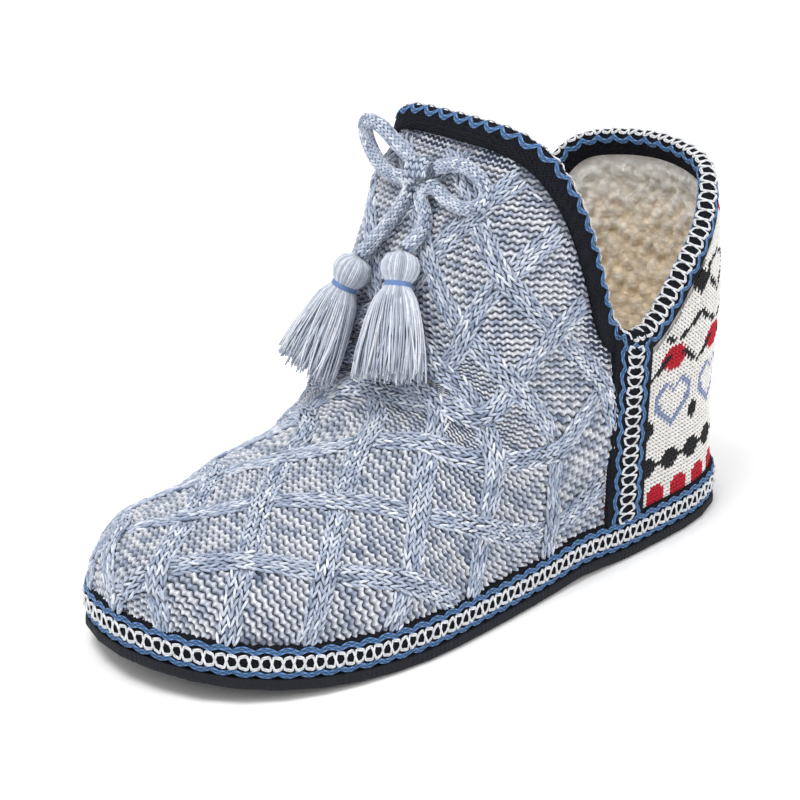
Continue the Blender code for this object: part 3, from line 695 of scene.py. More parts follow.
MAPPED = 193
steps = np.linspace(0, FLAT - 1, MAPPED)
low = np.minimum(steps.astype(int), FLAT - 2)
part_way = steps - low
rows_up = flat_uv[low] * (1 - part_way)[:, None, None] + flat_uv[low + 1] * part_way[:, None, None]
mapped = rows_up[:, low] * (1 - part_way)[None, :, None] + rows_up[:, low + 1] * part_way[None, :, None]
net = net_map(mapped.reshape(-1, 2))
shares = np.stack(np.meshgrid(np.linspace(-1, 1, MAPPED), np.linspace(0, 1, MAPPED), indexing="ij"), -1)
shares = shares.reshape(-1, 2)
quads = grid_quads(MAPPED, MAPPED)
triangles = np.vstack([quads[:, [0, 3, 1]], quads[:, [3, 2, 1]]])
NET_TREE = BVHTree.FromPolygons([(a, b, 0.0) for a, b in net.tolist()], triangles.tolist())


def on_front(st):
    """Shares over the front panel for net coordinates, and how far outside the panel each one is."""
    found = [NET_TREE.find_nearest((a, b, 0.0)) for a, b in st.tolist()]
    hit = np.array([f[0][:2] for f in found])
    tri = triangles[[f[2] for f in found]]
    a, b, c = net[tri[:, 0]], net[tri[:, 1]], net[tri[:, 2]]
    whole = (b[:, 0] - a[:, 0]) * (c[:, 1] - a[:, 1]) - (b[:, 1] - a[:, 1]) * (c[:, 0] - a[:, 0])
    wb = ((hit[:, 0] - a[:, 0]) * (c[:, 1] - a[:, 1]) - (hit[:, 1] - a[:, 1]) * (c[:, 0] - a[:, 0])) / whole
    wc = ((b[:, 0] - a[:, 0]) * (hit[:, 1] - a[:, 1]) - (b[:, 1] - a[:, 1]) * (hit[:, 0] - a[:, 0])) / whole
    weights = np.stack([1 - wb - wc, wb, wc], -1)[..., None]
    return (shares[tri] * weights).sum(axis=1), np.array([f[3] for f in found])


def front_at(share, out):
    """Places and outward directions at shares -1..1 and 0..1, lifted; the lowest edge goes on to the hem."""
    up = np.where(share[:, 1] < 1e-6, 0.0, (1 + 300 * share[:, 1]) / 301)
    return FRONT.at((share[:, 0] + 1) / 2, up, out)


print("net units over the front, s and t:", np.round(net.min(axis=0), 1), "to", np.round(net.max(axis=0), 1))

# %% [markdown]
# ## The collar's edge
# The ribbon is sewn over the raw edge of the knit, which gives way under it. So every place can be
# asked how far it lies from the edge, and stitches below the ribbon are pressed down or left out.

# %% The collar edge, and how far places lie from it
rim_half = {side: np.array([skin(side, x, angle_at(x, z)) for x, z in COLLAR_LINE]) for side in (1, -1)}
rim = even(np.vstack([rim_half[1], rim_half[-1][::-1][1:]]), 801)[:-1]
RIM_TREE = nearest_in(rim)


def from_rim(places):
    return np.array([RIM_TREE.find(point)[2] for point in places])


def tuck(places, normals):
    """Press a place down where the collar's ribbon lies over it."""
    press = np.clip((12.0 * MM - from_rim(places)) / (1.6 * MM), 0, 1)
    return places - normals * (press * 0.9 * MM)[:, None]


print("collar edge in mm:", round(run_of(rim)[-1] / MM))

# %% [markdown]
# ## Creases
# A worn shape shows where the cloth gives way: a crease runs from each side seam over the instep, with
# a soft ridge above it, and shallow hollows lie on the flap, under the bow and on the toes. Each one
# is drawn as a line over the foot with its own width and depth.

# %% Soft troughs and ridges: along x, across y and height z in mm, then width and depth in mm
FOLDS = (
    (((-46, 45, 30), (-30, 44, 34), (-14, 40, 39), (4, 31, 44), (20, 19, 48)), 5.5, -3.0),
    (((-46, 45, 44), (-28, 43, 50), (-8, 35, 55), (6, 24, 58)), 8.0, 1.3),
    (((-46, -44, 31), (-28, -43, 35), (-8, -38, 41), (10, -28, 47)), 5.5, -2.7),
    (((-44, -43, 46), (-24, -40, 53), (-4, -30, 58)), 8.0, 1.2),
    (((-34, 38, 78), (-22, 34, 92), (-14, 26, 108), (-10, 16, 122)), 8.0, -1.2),
    (((8, 3, 96), (10, -8, 84), (18, -12, 70)), 8.0, -0.8),
    (((46, 34, 26), (62, 30, 30), (76, 20, 34)), 9.0, -0.9),
    (((70, 38, 20), (88, 30, 24), (100, 16, 27)), 8.0, 0.8),
)


def fold_depth(places):
    """How far the cloth rises or sinks at places, from the folds above."""
    total = np.zeros(len(places))
    for rows, width, depth in FOLDS:
        path = spline(np.array(rows, float) * MM, 10)
        tree = nearest_in(path)
        found = [tree.find(point) for point in places]
        share = np.array([f[1] for f in found]) / (len(path) - 1)
        away = np.array([f[2] for f in found])
        fade = np.sin(np.clip(share * 0.9 + 0.1, 0, 1) * math.pi) ** 0.5
        total += depth * MM * np.exp(-(away / (width * MM)) ** 2) * fade
    return total


folded = fold_depth(FRONT.points.reshape(-1, 3)).reshape(FRONT.shape)
FRONT = Panel(FRONT.points + FRONT.normals * folded[..., None])
print("folds in mm:", round(folded.min() / MM, 2), round(folded.max() / MM, 2))

# %% [markdown]
# ## The purl ground
# Between the cables the knit shows its purl side: rows of small wavy bumps with dark gaps between
# them. Each row of the grid below follows one knitted row, so the gaps fall exactly on its lines and
# a few faces are enough for each stitch.

# %% Purl ground
WALES, COURSES = 5, 8.5          # stitches and rows in one diamond unit
QX, QY = 4, 5                    # faces of one stitch, across and up
ROW_WAVE = 0.21                  # how far a row waves up and down, in rows
ROW_HEIGHTS = np.array((-0.75, 0.10, 0.62, 0.62, 0.10))      # across one row, in millimetres
# painted shade across one row: the gap painted dark, the crest painted lit
ROW_SHADES = np.array((0.0, 0.70, 1.0, 1.0, 0.70))           # 0 is the dark gap, 1 the lit yarn
STITCH_BUMP, UNEVEN = 0.26, 0.05                             # in millimetres
LINE_APART = 27.6                # millimetres between two neighbouring cables
CABLE_HALF, CABLE_SOFT = 3.9, 1.2                            # where the cable covers the ground
SWELL, SWELL_WIDTH, SINK = 0.60, 4.6, 0.20                   # the cloth rises to a cable
s0, s1 = math.floor(net[:, 0].min() * WALES), math.ceil(net[:, 0].max() * WALES)
c0, c1 = math.floor(net[:, 1].min() * COURSES), math.ceil(net[:, 1].max() * COURSES)
wale = np.arange(s0 * QX, s1 * QX + 1) / QX
course = np.arange(c0 * QY, c1 * QY + 1) / QY
X, C = np.meshgrid(wale, course, indexing="ij")
st = np.stack([X / WALES, (C + ROW_WAVE * np.cos(2 * math.pi * X)) / COURSES], -1).reshape(-1, 2)
share, away = on_front(st)
inside = (away < 1e-6).reshape(X.shape)
phase = np.round((C - np.floor(C)) * QY).astype(int) % QY
raised, two_bumps = phase > 0, np.cos(4 * math.pi * X)
jitter = rng.normal(0, 1, (len(wale) // QX + 3, len(course) // QY + 3))
wx, wc = X - wale[0], np.floor(C) - course[0]
ix, iy = wx.astype(int), wc.astype(int)
tone = jitter[ix, iy] * (1 - (wx - ix)) + jitter[ix + 1, iy] * (wx - ix)
bump = ROW_HEIGHTS[phase] + STITCH_BUMP * two_bumps * raised + UNEVEN * tone * raised
steep_line, long_line = (st[:, 0] + st[:, 1]) / 2, (st[:, 1] - st[:, 0]) / 2
beside = np.minimum(abs(steep_line - np.round(steep_line)), abs(long_line - np.round(long_line))) * LINE_APART
under_cable = np.clip((CABLE_HALF - beside) / CABLE_SOFT, 0, 1).reshape(X.shape)
swell = np.exp(-(beside / SWELL_WIDTH) ** 2).reshape(X.shape)
bump = bump * (1 - 0.5 * under_cable) + SWELL * swell - SINK * (1 - swell)
ground_places, ground_normals = front_at(share, bump.reshape(-1) * MM)
ground_places = tuck(ground_places, ground_normals)
# painted light and shade: row tops and stitch bumps painted lighter; gaps, bump edges and the ground under the
# cables painted darker
tint = heather_of(0.66 + 0.30 * tone + 0.12 * (phase > 1) + 0.14 * two_bumps)
shade = ROW_SHADES[phase] * (0.86 + 0.14 * two_bumps) * (1 - 0.55 * under_cable)
tint = (tint * shade[..., None] + PAINTED_SHADE * (1 - shade[..., None])).reshape(-1, 3)
ni, nj = X.shape
quads = grid_quads(ni, nj)
keep = inside.reshape(-1)[quads].any(axis=1)
quads = facing(quads[keep], ground_places, ground_normals)
upper_part = course[quads.min(axis=1) % nj] >= (c0 + c1) // 2
ground_pieces = []
for name, choose in (("vamp_foot", ~upper_part), ("vamp_flap", upper_part)):
    few = quads[choose]
    used, again = np.unique(few, return_inverse=True)
    ground_pieces.append(mesh_piece(name, ground_places[used], again.reshape(-1, 4), HEATHER_WOOL, tint[used]))
    print(name, "triangles:", 2 * len(few))

# %% [markdown]
# ## The cables
# A cable is three wales wide, and each wale shows as a plait of slanting legs. At a crossing one
# cable goes over and the other under, in turns. Each leg is one closed grain of yarn.

# %% Cables
LEG = grain_shape(6, 3)
CABLE_WALES = (-2.45, 0.0, 2.45)
LEG_SIZE, LEG_STEP = (4.6 * MM, 1.08 * MM, 1.25 * MM), 2.8 * MM      # long, wide, high
LEG_SLANT, LEG_APART = math.tan(math.radians(15)), 0.60              # of the two legs of a stitch
CABLE_RAISE, OVER_RAISE, UNDER_SINK = 0.72, 0.70, 1.15               # in millimetres
CROWN, CROWN_HALF = 0.50 * MM, 3.6 * MM                              # the cable is higher in its middle
OUTER_WALES_ON, LEG_WOBBLE = 0.4 * MM, 0.14 * MM
BELOW_RIBBON = 10.4 * MM         # cable nearer to the collar's edge is hidden


def cable_line(fixed, steep):
    """Net coordinates along one cable, and its place among the cables that it crosses."""
    crossing = np.linspace(-8.0, 14.0, 22 * 56 + 1)          # 56 points from one crossing to the next
    own = np.full_like(crossing, fixed)
    i, j = (own, crossing) if steep else (crossing, own)
    return np.stack([i - j, i + j], -1), crossing


def cable_legs(centre, normal, raise_by):
    """The legs of one stretch of cable and their colours, wale by wale."""
    length = run_of(centre)
    stops = np.arange(1.2 * MM, length[-1] - 0.8 * MM, LEG_STEP)
    at, out, up = look_up(stops, length, centre), look_up(stops, length, normal), np.interp(stops, length, raise_by)
    ahead = unit(look_up(stops, length, np.gradient(centre, axis=0)))
    aside = unit(np.cross(out, ahead))
    for wale_at in CABLE_WALES:
        for leg in (-1, 1):
            off = (wale_at + leg * LEG_APART) * MM
            crown = CROWN * (1 - (off / CROWN_HALF) ** 2)
            wobble = rng.normal(0, LEG_WOBBLE, (len(stops), 3))
            middle = at + aside * off + out * (up + crown)[:, None] + wobble
            middle = middle + ahead * (OUTER_WALES_ON * (wale_at != 0))
            shown = from_rim(middle) > BELOW_RIBBON
            if not shown.any():
                continue
            middle = tuck(middle, out)[shown]
            way = ahead[shown] + aside[shown] * (LEG_SLANT * leg + rng.normal(0, 0.07, (len(middle), 1)))
            legs = grains(LEG, middle, way, out[shown], *LEG_SIZE)
            yield legs, np.repeat(heather(len(middle), 0.72) * 1.04, len(LEG[0]), axis=0)


cable_pieces = []
for family, steep in (("cables_steep", True), ("cables_long", False)):
    stitches = []
    for fixed in range(-5, 14):
        line, crossing = cable_line(fixed, steep)
        share, away = on_front(line)
        edges = np.flatnonzero(np.diff(np.concatenate([[0], (away < 1e-6).astype(int), [0]])))
        for first, last in zip(edges[::2], edges[1::2]):
            if last - first < 8:
                continue
            centre, normal = (soften(table, 5, 1) for table in front_at(share[first:last], 0.0))
            if run_of(centre)[-1] < 6.0 * MM:
                continue
            nearest = np.round(crossing[first:last])
            over = ((fixed + nearest) % 2 == 0) == steep
            closeness = np.exp(-((crossing[first:last] - nearest) / 0.17) ** 2)
            raise_by = (np.where(over, OVER_RAISE, -UNDER_SINK) * closeness + CABLE_RAISE) * MM
            stitches += cable_legs(centre, normal, raise_by)
    places, tints = (np.concatenate(rows) for rows in zip(*stitches))
    points, faces = repeat(LEG, places)
    cable_pieces.append(mesh_piece(family, points, faces, HEATHER_WOOL, tints))
    print(family, "legs:", len(places), "triangles:", 24 * len(places))

# %% [markdown]
# ## The patterned heel
# The heel is a fine stockinette in four colours. Each stitch is a V of two legs. The pattern is a
# chart of traditional hearts, ovals and diamonds, written as rows of small widths, and the yarn's
# colour is looked up for each stitch, as a knitter reads the chart.

# %% The chart
INKS = np.stack([rgb("#EBE9E6"), rgb("#BE0F2B"), rgb("#1B1C22"), rgb("#8C9ABC")])
REPEAT, CHART_ROWS = 14, 80
WHITE, RED, BLACK, BLUE = range(4)
chart = np.full((CHART_ROWS, REPEAT), WHITE)


def chart_row(row, centre, width, ink):
    for k in range(width):
        chart[row, int(math.floor(centre - (width - 1) / 2 + k + 0.01)) % REPEAT] = ink


def outline(row, centre, steps, ink):
    for step in steps:
        for side in (-1, 1):
            chart[row, int(round(centre + side * step)) % REPEAT] = ink


def filled(first, centre, widths, ink):
    for row, width in enumerate(widths):
        chart_row(first + row, centre, width, ink)


def outlined(first, centre, rows, ink):
    for row, steps in enumerate(rows):
        outline(first + row, centre, steps, ink)


for middle in (3.5, 10.5):                           # band above the sole
    filled(0, middle, (5, 5, 3), RED)
for middle in (0, 7):                                # ovals
    filled(6, middle, (3, 5, 7, 5, 3), BLACK)
filled(16, 0, (1, 3, 3, 3, 1), BLACK)                # small drop between the hearts
outlined(17, 7, ((0,), (0, 1), (1, 2), (2, 3), (3, 4), (4, 5), (4, 5), (5,), (5,), (4, 5), (1, 3, 4), (2, 3)), BLUE)
chart[26, 7] = BLUE
filled(32, 7, (4, 6, 8, 8, 6, 4), RED)
outlined(31, 0, [(row, row + 0.6) if row else (0,) for row in range(5)], BLACK)
outlined(39, 7, [(1 + 1.4 * row, 2 + 1.4 * row) for row in range(5)], BLACK)
outlined(46, 7, ((0,), (1,), (1, 2), (2, 3), (3,), (4,), (4,), (4,), (3, 4), (1, 2), (0,)), BLACK)
filled(48, 0, (1, 3, 5, 7, 5, 3, 1), BLACK)
filled(61, 0, (1, 3, 5, 7, 9, 10, 11, 11, 11, 9, 4), RED)
print("chart rows:", CHART_ROWS, "repeat:", REPEAT)

# %% Heel stitches
HEEL_STITCH, HEEL_ROW = 2.0 * MM, 1.50 * MM
HEEL_LIFT = 0.12 * MM            # of the stitches over the cloth
HEEL_BELOW_RIBBON = 9.6 * MM     # stitches nearer to the collar's edge are hidden
HEEL_LEG_SIZE = (2.5 * MM, 1.02 * MM, 0.95 * MM)
heel_leg = grain_shape(6, 2)
girth = run_of(BACK.points[:, 1])
columns = int(girth[-1] / HEEL_STITCH)
column_at = (np.arange(columns) + 0.5) / columns
heel_heights = np.interp(column_at * (BACK.shape[0] - 1), np.arange(BACK.shape[0]), BACK.lengths)
parts, tints = [], []
for column in range(columns):
    count = int(heel_heights[column] / HEEL_ROW) + 1
    row = np.arange(count) - 2
    up = (row + 2.4) * HEEL_ROW / heel_heights[column]
    up, row = up[up < 1.0], row[up < 1.0]
    from_middle = column - (columns - 1) / 2
    ink = INKS[chart[np.clip(row, 0, CHART_ROWS - 1), int(math.floor(from_middle + 0.51)) % REPEAT]]
    for leg in (-1, 1):
        a = np.full(len(up), column_at[column] + leg * 0.24 / columns)
        at, out = BACK.at(a, up, HEEL_LIFT)
        rise = unit(BACK.at(a, np.minimum(up + 0.004, 1), HEEL_LIFT)[0] - at)
        over = unit(BACK.at(a + 0.002, up, HEEL_LIFT)[0] - at)
        at = at + rng.normal(0, 0.04 * MM, at.shape)
        shown = from_rim(at) > HEEL_BELOW_RIBBON
        if not shown.any():
            continue
        parts.append(grains(heel_leg, at[shown], (rise + over * leg * 0.62)[shown], out[shown], *HEEL_LEG_SIZE))
        shade = 1 + rng.normal(0, 0.05, (shown.sum(), 1))
        tints.append(np.repeat(ink[shown] * shade, len(heel_leg[0]), axis=0))
places = np.concatenate(parts)
points, faces = repeat(heel_leg, places)
heel_knit = mesh_piece("heel_knit", points, faces, PATTERN_WOOL, np.concatenate(tints))
print("heel legs:", len(places), "triangles:", 12 * len(places))

# %% [markdown]
# ## The cloth under the stitches and the fleece lining
# Under the stitches lies the back of the knit, which shows only as darker gaps; its colour is painted shade.
# Inside, the boot is lined with a curly fleece. It is one skin set in by the wall's thickness, pushed in and out by
# noise as big as a curl, with finer curls as bump. Its colour is painted light, cream, near the collar's edge and
# painted shade, tan, deeper in.

# %% Lining
FLEECE, fleece_shader = material_of(                             # brushed, curled pile: matt and deep
    "fleece_polyester_pile", {"Roughness": 1.0, "Sheen Weight": 0.5, "Specular IOR Level": 0.15})
CURL_SIZE, FLUFF_SIZE, PATCH = 2.6 * MM, 0.9 * MM, 11 * MM
fleece_place = add(FLEECE, "ShaderNodeTexCoord").outputs["Object"]
curls = add(FLEECE, "ShaderNodeTexVoronoi",
            {"Vector": fleece_place, "Scale": 1 / CURL_SIZE, "Randomness": 1.0}).outputs["Distance"]
fluff = add(FLEECE, "ShaderNodeTexNoise",
            {"Vector": fleece_place, "Scale": 1 / FLUFF_SIZE, "Detail": 5.0, "Roughness": 0.75})
patch = add(FLEECE, "ShaderNodeTexNoise", {"Vector": fleece_place, "Scale": 1 / PATCH, "Detail": 3.0})
lining_tint_with_painted_shade = add(FLEECE, "ShaderNodeAttribute", attribute_name="yarn").outputs["Color"]
# painted light and shade: each curl painted lighter at its middle and darker at its edge, where the bump sinks
curl_painted_shade = add(FLEECE, "ShaderNodeMapRange", {"Value": curls, "From Max": 0.75, "To Min": 1.22, "To Max": 0.88})
patch_level = add(FLEECE, "ShaderNodeMapRange", {"Value": patch.outputs["Fac"], "From Min": 0.3, "From Max": 0.7,
                                                 "To Min": 0.93, "To Max": 1.05})
levels = add(FLEECE, "ShaderNodeMath", {0: curl_painted_shade.outputs[0], 1: patch_level.outputs[0]}, operation="MULTIPLY")
fleece_colour = add(FLEECE, "ShaderNodeVectorMath", {0: lining_tint_with_painted_shade, 3: levels.outputs[0]}, operation="SCALE")
link(FLEECE, fleece_colour.outputs[0], fleece_shader.inputs["Base Color"])
curl_height = add(FLEECE, "ShaderNodeMath", {0: curls, 1: -1.0}, operation="MULTIPLY")
pile_height = add(FLEECE, "ShaderNodeMath", {0: curl_height.outputs[0], 1: fluff.outputs["Fac"]}, operation="ADD")
relief(FLEECE, fleece_shader, pile_height.outputs[0], 0.75, 1.2 * MM)
# cream, and tan, which the lining takes as painted shade; the footbed takes an even mix of the two
CREAM, TAN = rgb("#FFFDF8"), rgb("#FFE8C4")
LINING_IN = 3.6 * MM


def soft_noise(places, size, octaves=2):
    """Smooth noise between about -1 and 1 at 3-D places, without any lattice of its own."""
    total = np.zeros(len(places))
    local = np.random.default_rng(int(size * 1e6))
    for octave in range(octaves):
        for _ in range(10):
            way = local.normal(0, 1, 3)
            way *= 2 * math.pi / (size / 1.8 ** octave) / np.linalg.norm(way)
            total += np.sin(places @ way + local.uniform(0, 6.3)) / (2.2 * 1.5 ** octave)
    return np.clip(total / 1.6, -1.3, 1.3)


def share_grid(columns, rows, low=0.0, high=1.0):
    a, b = np.meshgrid(np.linspace(0, 1, columns), np.linspace(low, high, rows), indexing="ij")
    return a.reshape(-1), b.reshape(-1)


def lining_grid(panel, columns, rows):
    """The fleece inside one panel: places, faces and colours, painted light near the collar's edge and painted
    shade deeper in and in the pile's hollows.
    """
    a, b = share_grid(columns, rows, 0.015, 0.995)
    base, normal = panel.at(a, b, -LINING_IN)
    curl = soft_noise(base, 5.0 * MM, 2)
    fade = np.clip((1 - b) / 0.06, 0, 1)
    covered = np.clip((11.5 * MM - from_rim(base)) / (2.0 * MM), 0, 1)
    base = base + normal * (covered * 1.3 - (0.7 + 0.9 * curl) * fade * (1 - covered))[:, None] * MM
    # painted light: cream near the collar's edge; painted shade: tan where the pile sinks and away from the edge
    painted_rim_light = np.exp(-(from_rim(base) / 0.025) ** 2)
    painted_shade_share = np.clip(0.80 - 0.24 * curl - 1.15 * painted_rim_light, 0, 1)[:, None]
    return base, facing(grid_quads(columns, rows), base, normal, -1).tolist(), CREAM * (1 - painted_shade_share) + TAN * painted_shade_share


points, faces, tint = join([lining_grid(FRONT, 200, 84), lining_grid(BACK, 150, 64)])
lining = mesh_piece("fleece_lining", points, faces, FLEECE, tint)
backing_parts = []
for panel, columns, rows in ((FRONT, 150, 70), (BACK, 120, 60)):
    a, b = share_grid(columns, rows)
    base, normal = panel.at(a, b, -0.7 * MM if panel is FRONT else -0.2 * MM)
    # painted shade: the back of the front knit takes the fixed dark of the gaps
    under = PAINTED_SHADE
    if panel is BACK:                # the back of the same pattern, in shade
        stitch = a * len(column_at) - len(column_at) / 2
        height = np.interp(a * (BACK.shape[0] - 1), np.arange(BACK.shape[0]), BACK.lengths)
        row = np.clip((b * height / HEEL_ROW - 2.9).astype(int), 0, CHART_ROWS - 1)
        under = INKS[chart[row, np.floor(stitch + 0.51).astype(int) % REPEAT]] * 0.45
    backing_parts.append((base, facing(grid_quads(columns, rows), base, normal).tolist(), under))
points, faces, tint = join(backing_parts)
backing = mesh_piece("knit_backing", points, faces, HEATHER_WOOL, tint)
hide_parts("upper")
for thing in ground_pieces + cable_pieces + [heel_knit, lining]:
    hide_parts("upper")
print("lining points:", len(lining.data.vertices))

# %% [markdown]
# ## The woven ribbon
# One ribbon, 21 mm wide, edges everything: black ground, a white chain down its middle and a blue
# scallop on both sides. It is woven flat on narrow looms and then sewn on. Each run of it here is a
# small function from along, across and out to a place, so the ground and every raised thread follow
# the same cloth.

# %% Ribbon materials and threads
RIBBON, ribbon_shader = material_of(                             # tight rib weave: dark, slight sheen
    "ribbon_woven_polyester", {"Roughness": 0.9, "Specular IOR Level": 0.12})
ribbon_place = add(RIBBON, "ShaderNodeTexCoord").outputs["Object"]
ribs = add(RIBBON, "ShaderNodeTexVoronoi",
           {"Vector": ribbon_place, "Scale": 1 / (0.85 * MM), "Randomness": 0.35}).outputs["Distance"]
ribs_fine = add(RIBBON, "ShaderNodeTexNoise", {"Vector": ribbon_place, "Scale": 1 / (0.4 * MM), "Detail": 3.0})
rib_mix = add(RIBBON, "ShaderNodeMath", {0: ribs, 1: ribs_fine.outputs["Fac"]}, operation="MULTIPLY")
link(RIBBON, ramp(RIBBON, rib_mix.outputs[0], "#23252E", "#030406", 0.45), ribbon_shader.inputs["Base Color"])
relief(RIBBON, ribbon_shader, ribs, 0.9, 0.7 * MM, True)
CHAIN_WHITE, STEEL_BLUE = rgb("#E6E8EC"), rgb("#5E86B8")
WHITE_THREAD, BLUE_THREAD, THREAD_SIDES, SAMPLES = 0.31 * MM, 0.30 * MM, 4, 12
BLUE_STRANDS = ((0.0, 1.25), (0.62 * MM, 0.8), (1.24 * MM, 1.0))     # place and brightness of each strand


def trapezoid(turns):
    """A wave from -1 to 1 with flat tops."""
    steep = 1.7 / 0.95
    return np.clip(steep * np.sin(2 * math.pi * turns), -1, 1)


def ribbon(name, place, length, profile, centre, pitch, chain_half, scallops, replaced, closed, drift=None):
    """Ground and threads of one run; place(along, across, out) gives places and outward directions."""
    count = int(length / (1.5 * MM))
    along = np.linspace(0, length, count + 1)[:-1] if closed else np.linspace(0, length, count + 1)
    rings = [place(along, np.full(len(along), across), np.full(len(along), out))[0] for across, out in profile]
    rings, around = np.stack(rings, 1), len(profile)
    faces = grid_quads(len(along), around, closed, True).tolist()
    if not closed:
        faces += [list(range(around))[::-1], [(len(along) - 1) * around + k for k in range(around)]]
    ground = mesh_piece(name + "_ground", rings.reshape(-1, 3), faces, RIBBON)
    bm = bmesh.new()
    bm.from_mesh(ground.data)
    bmesh.ops.recalc_face_normals(bm, faces=bm.faces)
    bm.to_mesh(ground.data)
    bm.free()
    turns = max(1, round(length / pitch))
    samples = turns * SAMPLES
    u = np.linspace(0, 1, samples, endpoint=False) if closed else np.linspace(0.004, 0.996, samples)
    where, parts = u * length, []
    middle = centre + (drift(where) if drift else 0.0)
    for phase in (0.0, 0.5):
        wave = trapezoid(u * turns + phase)
        crossing = np.cos(2 * math.pi * (u * turns * 2 + phase * 2 + 0.25)) * (1 if phase else -1)
        over = (0.45 + 0.35 * crossing) * MM
        for twin in (-0.28 * MM, 0.28 * MM):
            path, normal = place(where, middle + wave * chain_half + twin, over)
            # painted light and shade: each thread banded lighter and darker along it, for its twist
            painted_twist_shade = np.repeat(0.90 + 0.16 * np.cos(2 * math.pi * (u * turns * 3 + twin / MM)), THREAD_SIDES)[:, None]
            parts.append((*ring_tube(path, normal, WHITE_THREAD, THREAD_SIDES, closed), CHAIN_WHITE * painted_twist_shade))
    for offset, size, sense in scallops:
        arc = np.abs(np.sin(math.pi * (u * turns + 0.25)))
        for number, (shift, bright) in enumerate(BLUE_STRANDS):
            path, normal = place(where, middle + offset + sense * (arc * size + shift), np.full(len(u), 0.22 * MM))
            painted_twist_shade = np.repeat(0.78 + 0.42 * np.cos(2 * math.pi * (u * turns * 3 + number / 2)), THREAD_SIDES)[:, None]
            parts.append((*ring_tube(path, normal, BLUE_THREAD, THREAD_SIDES, closed), STEEL_BLUE * painted_twist_shade * bright))
    points, faces, tint = join(parts)
    tint = tint * (1 + rng.normal(0, 0.06, (len(points), 1)))
    threads = mesh_piece(name + "_threads", points, faces, RIBBON_YARN, np.clip(tint, 0, 1))
    for thing in (ground, threads):
        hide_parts(replaced)
    print(name, "length in mm:", round(length / MM), "repeats:", turns)


def table_place(places, normals, run):
    """A function from along and a level 0..1 to places, out of a table of columns."""
    levels = places.shape[1] - 1

    def find(along, level):
        x = np.interp(along, run, np.arange(len(run)))
        place, normal = between((places, normals), x, np.clip(level, 0, 1) * levels)
        return place, unit(normal)
    return find


# %% Ribbon round the sole
def whole_loop(count):
    """The knit's foot line, from the toe along the left side to the heel and back along the right."""
    x = LENGTH * (0.5 + 0.5 * np.cos(np.linspace(0, math.pi, 3000)))
    left, right = skin(1, x, np.zeros_like(x)), skin(-1, x[::-1], np.zeros_like(x))
    loop = np.vstack([left, right[1:]])
    return even(loop, count)


foot_line = whole_loop(901)
foot_flow = np.gradient(foot_line, axis=0)
foot_flow[0] = foot_flow[-1] = foot_line[1] - foot_line[-2]
foot_out = np.stack([foot_flow[:, 1], -foot_flow[:, 0], np.zeros(len(foot_flow))], -1)
foot_out = unit(foot_out)
if (foot_out * foot_line).sum() < 0:
    foot_out = -foot_out
foot_out = soften(foot_out, 4)
foot_run = run_of(foot_line)


def on_sole_edge(along, across, out):
    base, normal = look_up(along, foot_run, foot_line), unit(look_up(along, foot_run, foot_out))
    bulge = 1.5 * MM + 0.5 * MM * np.cos(np.clip(across / (5.5 * MM), -1, 1) * math.pi / 2)
    point = base + normal * (bulge + out)[:, None]
    point[:, 2] += across - 5.2 * MM
    return point, normal


EDGE_PROFILE = np.array(((-5.3, -2.3), (-5.3, -0.5), (-4.6, 0.0), (-2.5, 0.0), (0.0, 0.0),
                         (2.5, 0.0), (4.6, 0.0), (5.6, -0.7), (5.8, -2.6))) * MM
ribbon("sole_ribbon", on_sole_edge, foot_run[-1], EDGE_PROFILE, -0.1 * MM, 6.8 * MM, 2.1 * MM,
       ((2.6 * MM, 1.2 * MM, 1), (-2.6 * MM, 1.2 * MM, -1)), "sole_band", True)


# %% Ribbon over the side seams
def side_ribbon(side, name, node):
    steps, levels = 80, 12
    across = np.linspace(-TAPE_WIDTH / 2, TAPE_WIDTH / 2, levels + 1)
    top = np.interp(SEAM_X + across, COLLAR_LINE[::-1, 0], COLLAR_LINE[::-1, 1]) - 1.5 * MM
    places = np.zeros((steps + 1, levels + 1, 3))
    for k, x in enumerate(SEAM_X + across):
        z = np.linspace(BAND_TOP - 1.0 * MM, top[k], steps + 1)
        places[:, k] = skin(side, np.full(steps + 1, x), angle_at(np.full(steps + 1, x), z))
        places[:, k, 2] = z + lift(x)
    normals = unit(np.cross(np.gradient(places, axis=0), np.gradient(places, axis=1)))
    if normals[..., 1].sum() * side < 0:
        normals = -normals
    run = run_of(places[:, levels // 2])
    find = table_place(places, normals, run)

    def place(along, sideways, out):
        base, normal = find(along, sideways / TAPE_WIDTH + 0.5)
        extra = np.maximum(np.abs(sideways) - TAPE_WIDTH / 2, 0)
        return base + normal * (1.75 * MM + out - extra)[:, None], normal

    half = TAPE_WIDTH / 2 / MM - 0.2
    profile = np.array(((-half, -2.0), (-half, -0.4), (0.7 - half, 0.0), (-5, 0.0), (0.0, 0.0), (5, 0.0),
                        (half - 0.7, 0.0), (half, -0.4), (half, -2.0))) * MM
    ribbon(name, place, run[-1], profile, 0.0, 7.6 * MM, 3.5 * MM,
           ((4.4 * MM, 1.9 * MM, 1), (-4.4 * MM, 1.9 * MM, -1)), node, False)


side_ribbon(1, "side_ribbon_left", "side_tape_left")
side_ribbon(-1, "side_ribbon_right", "side_tape_right")

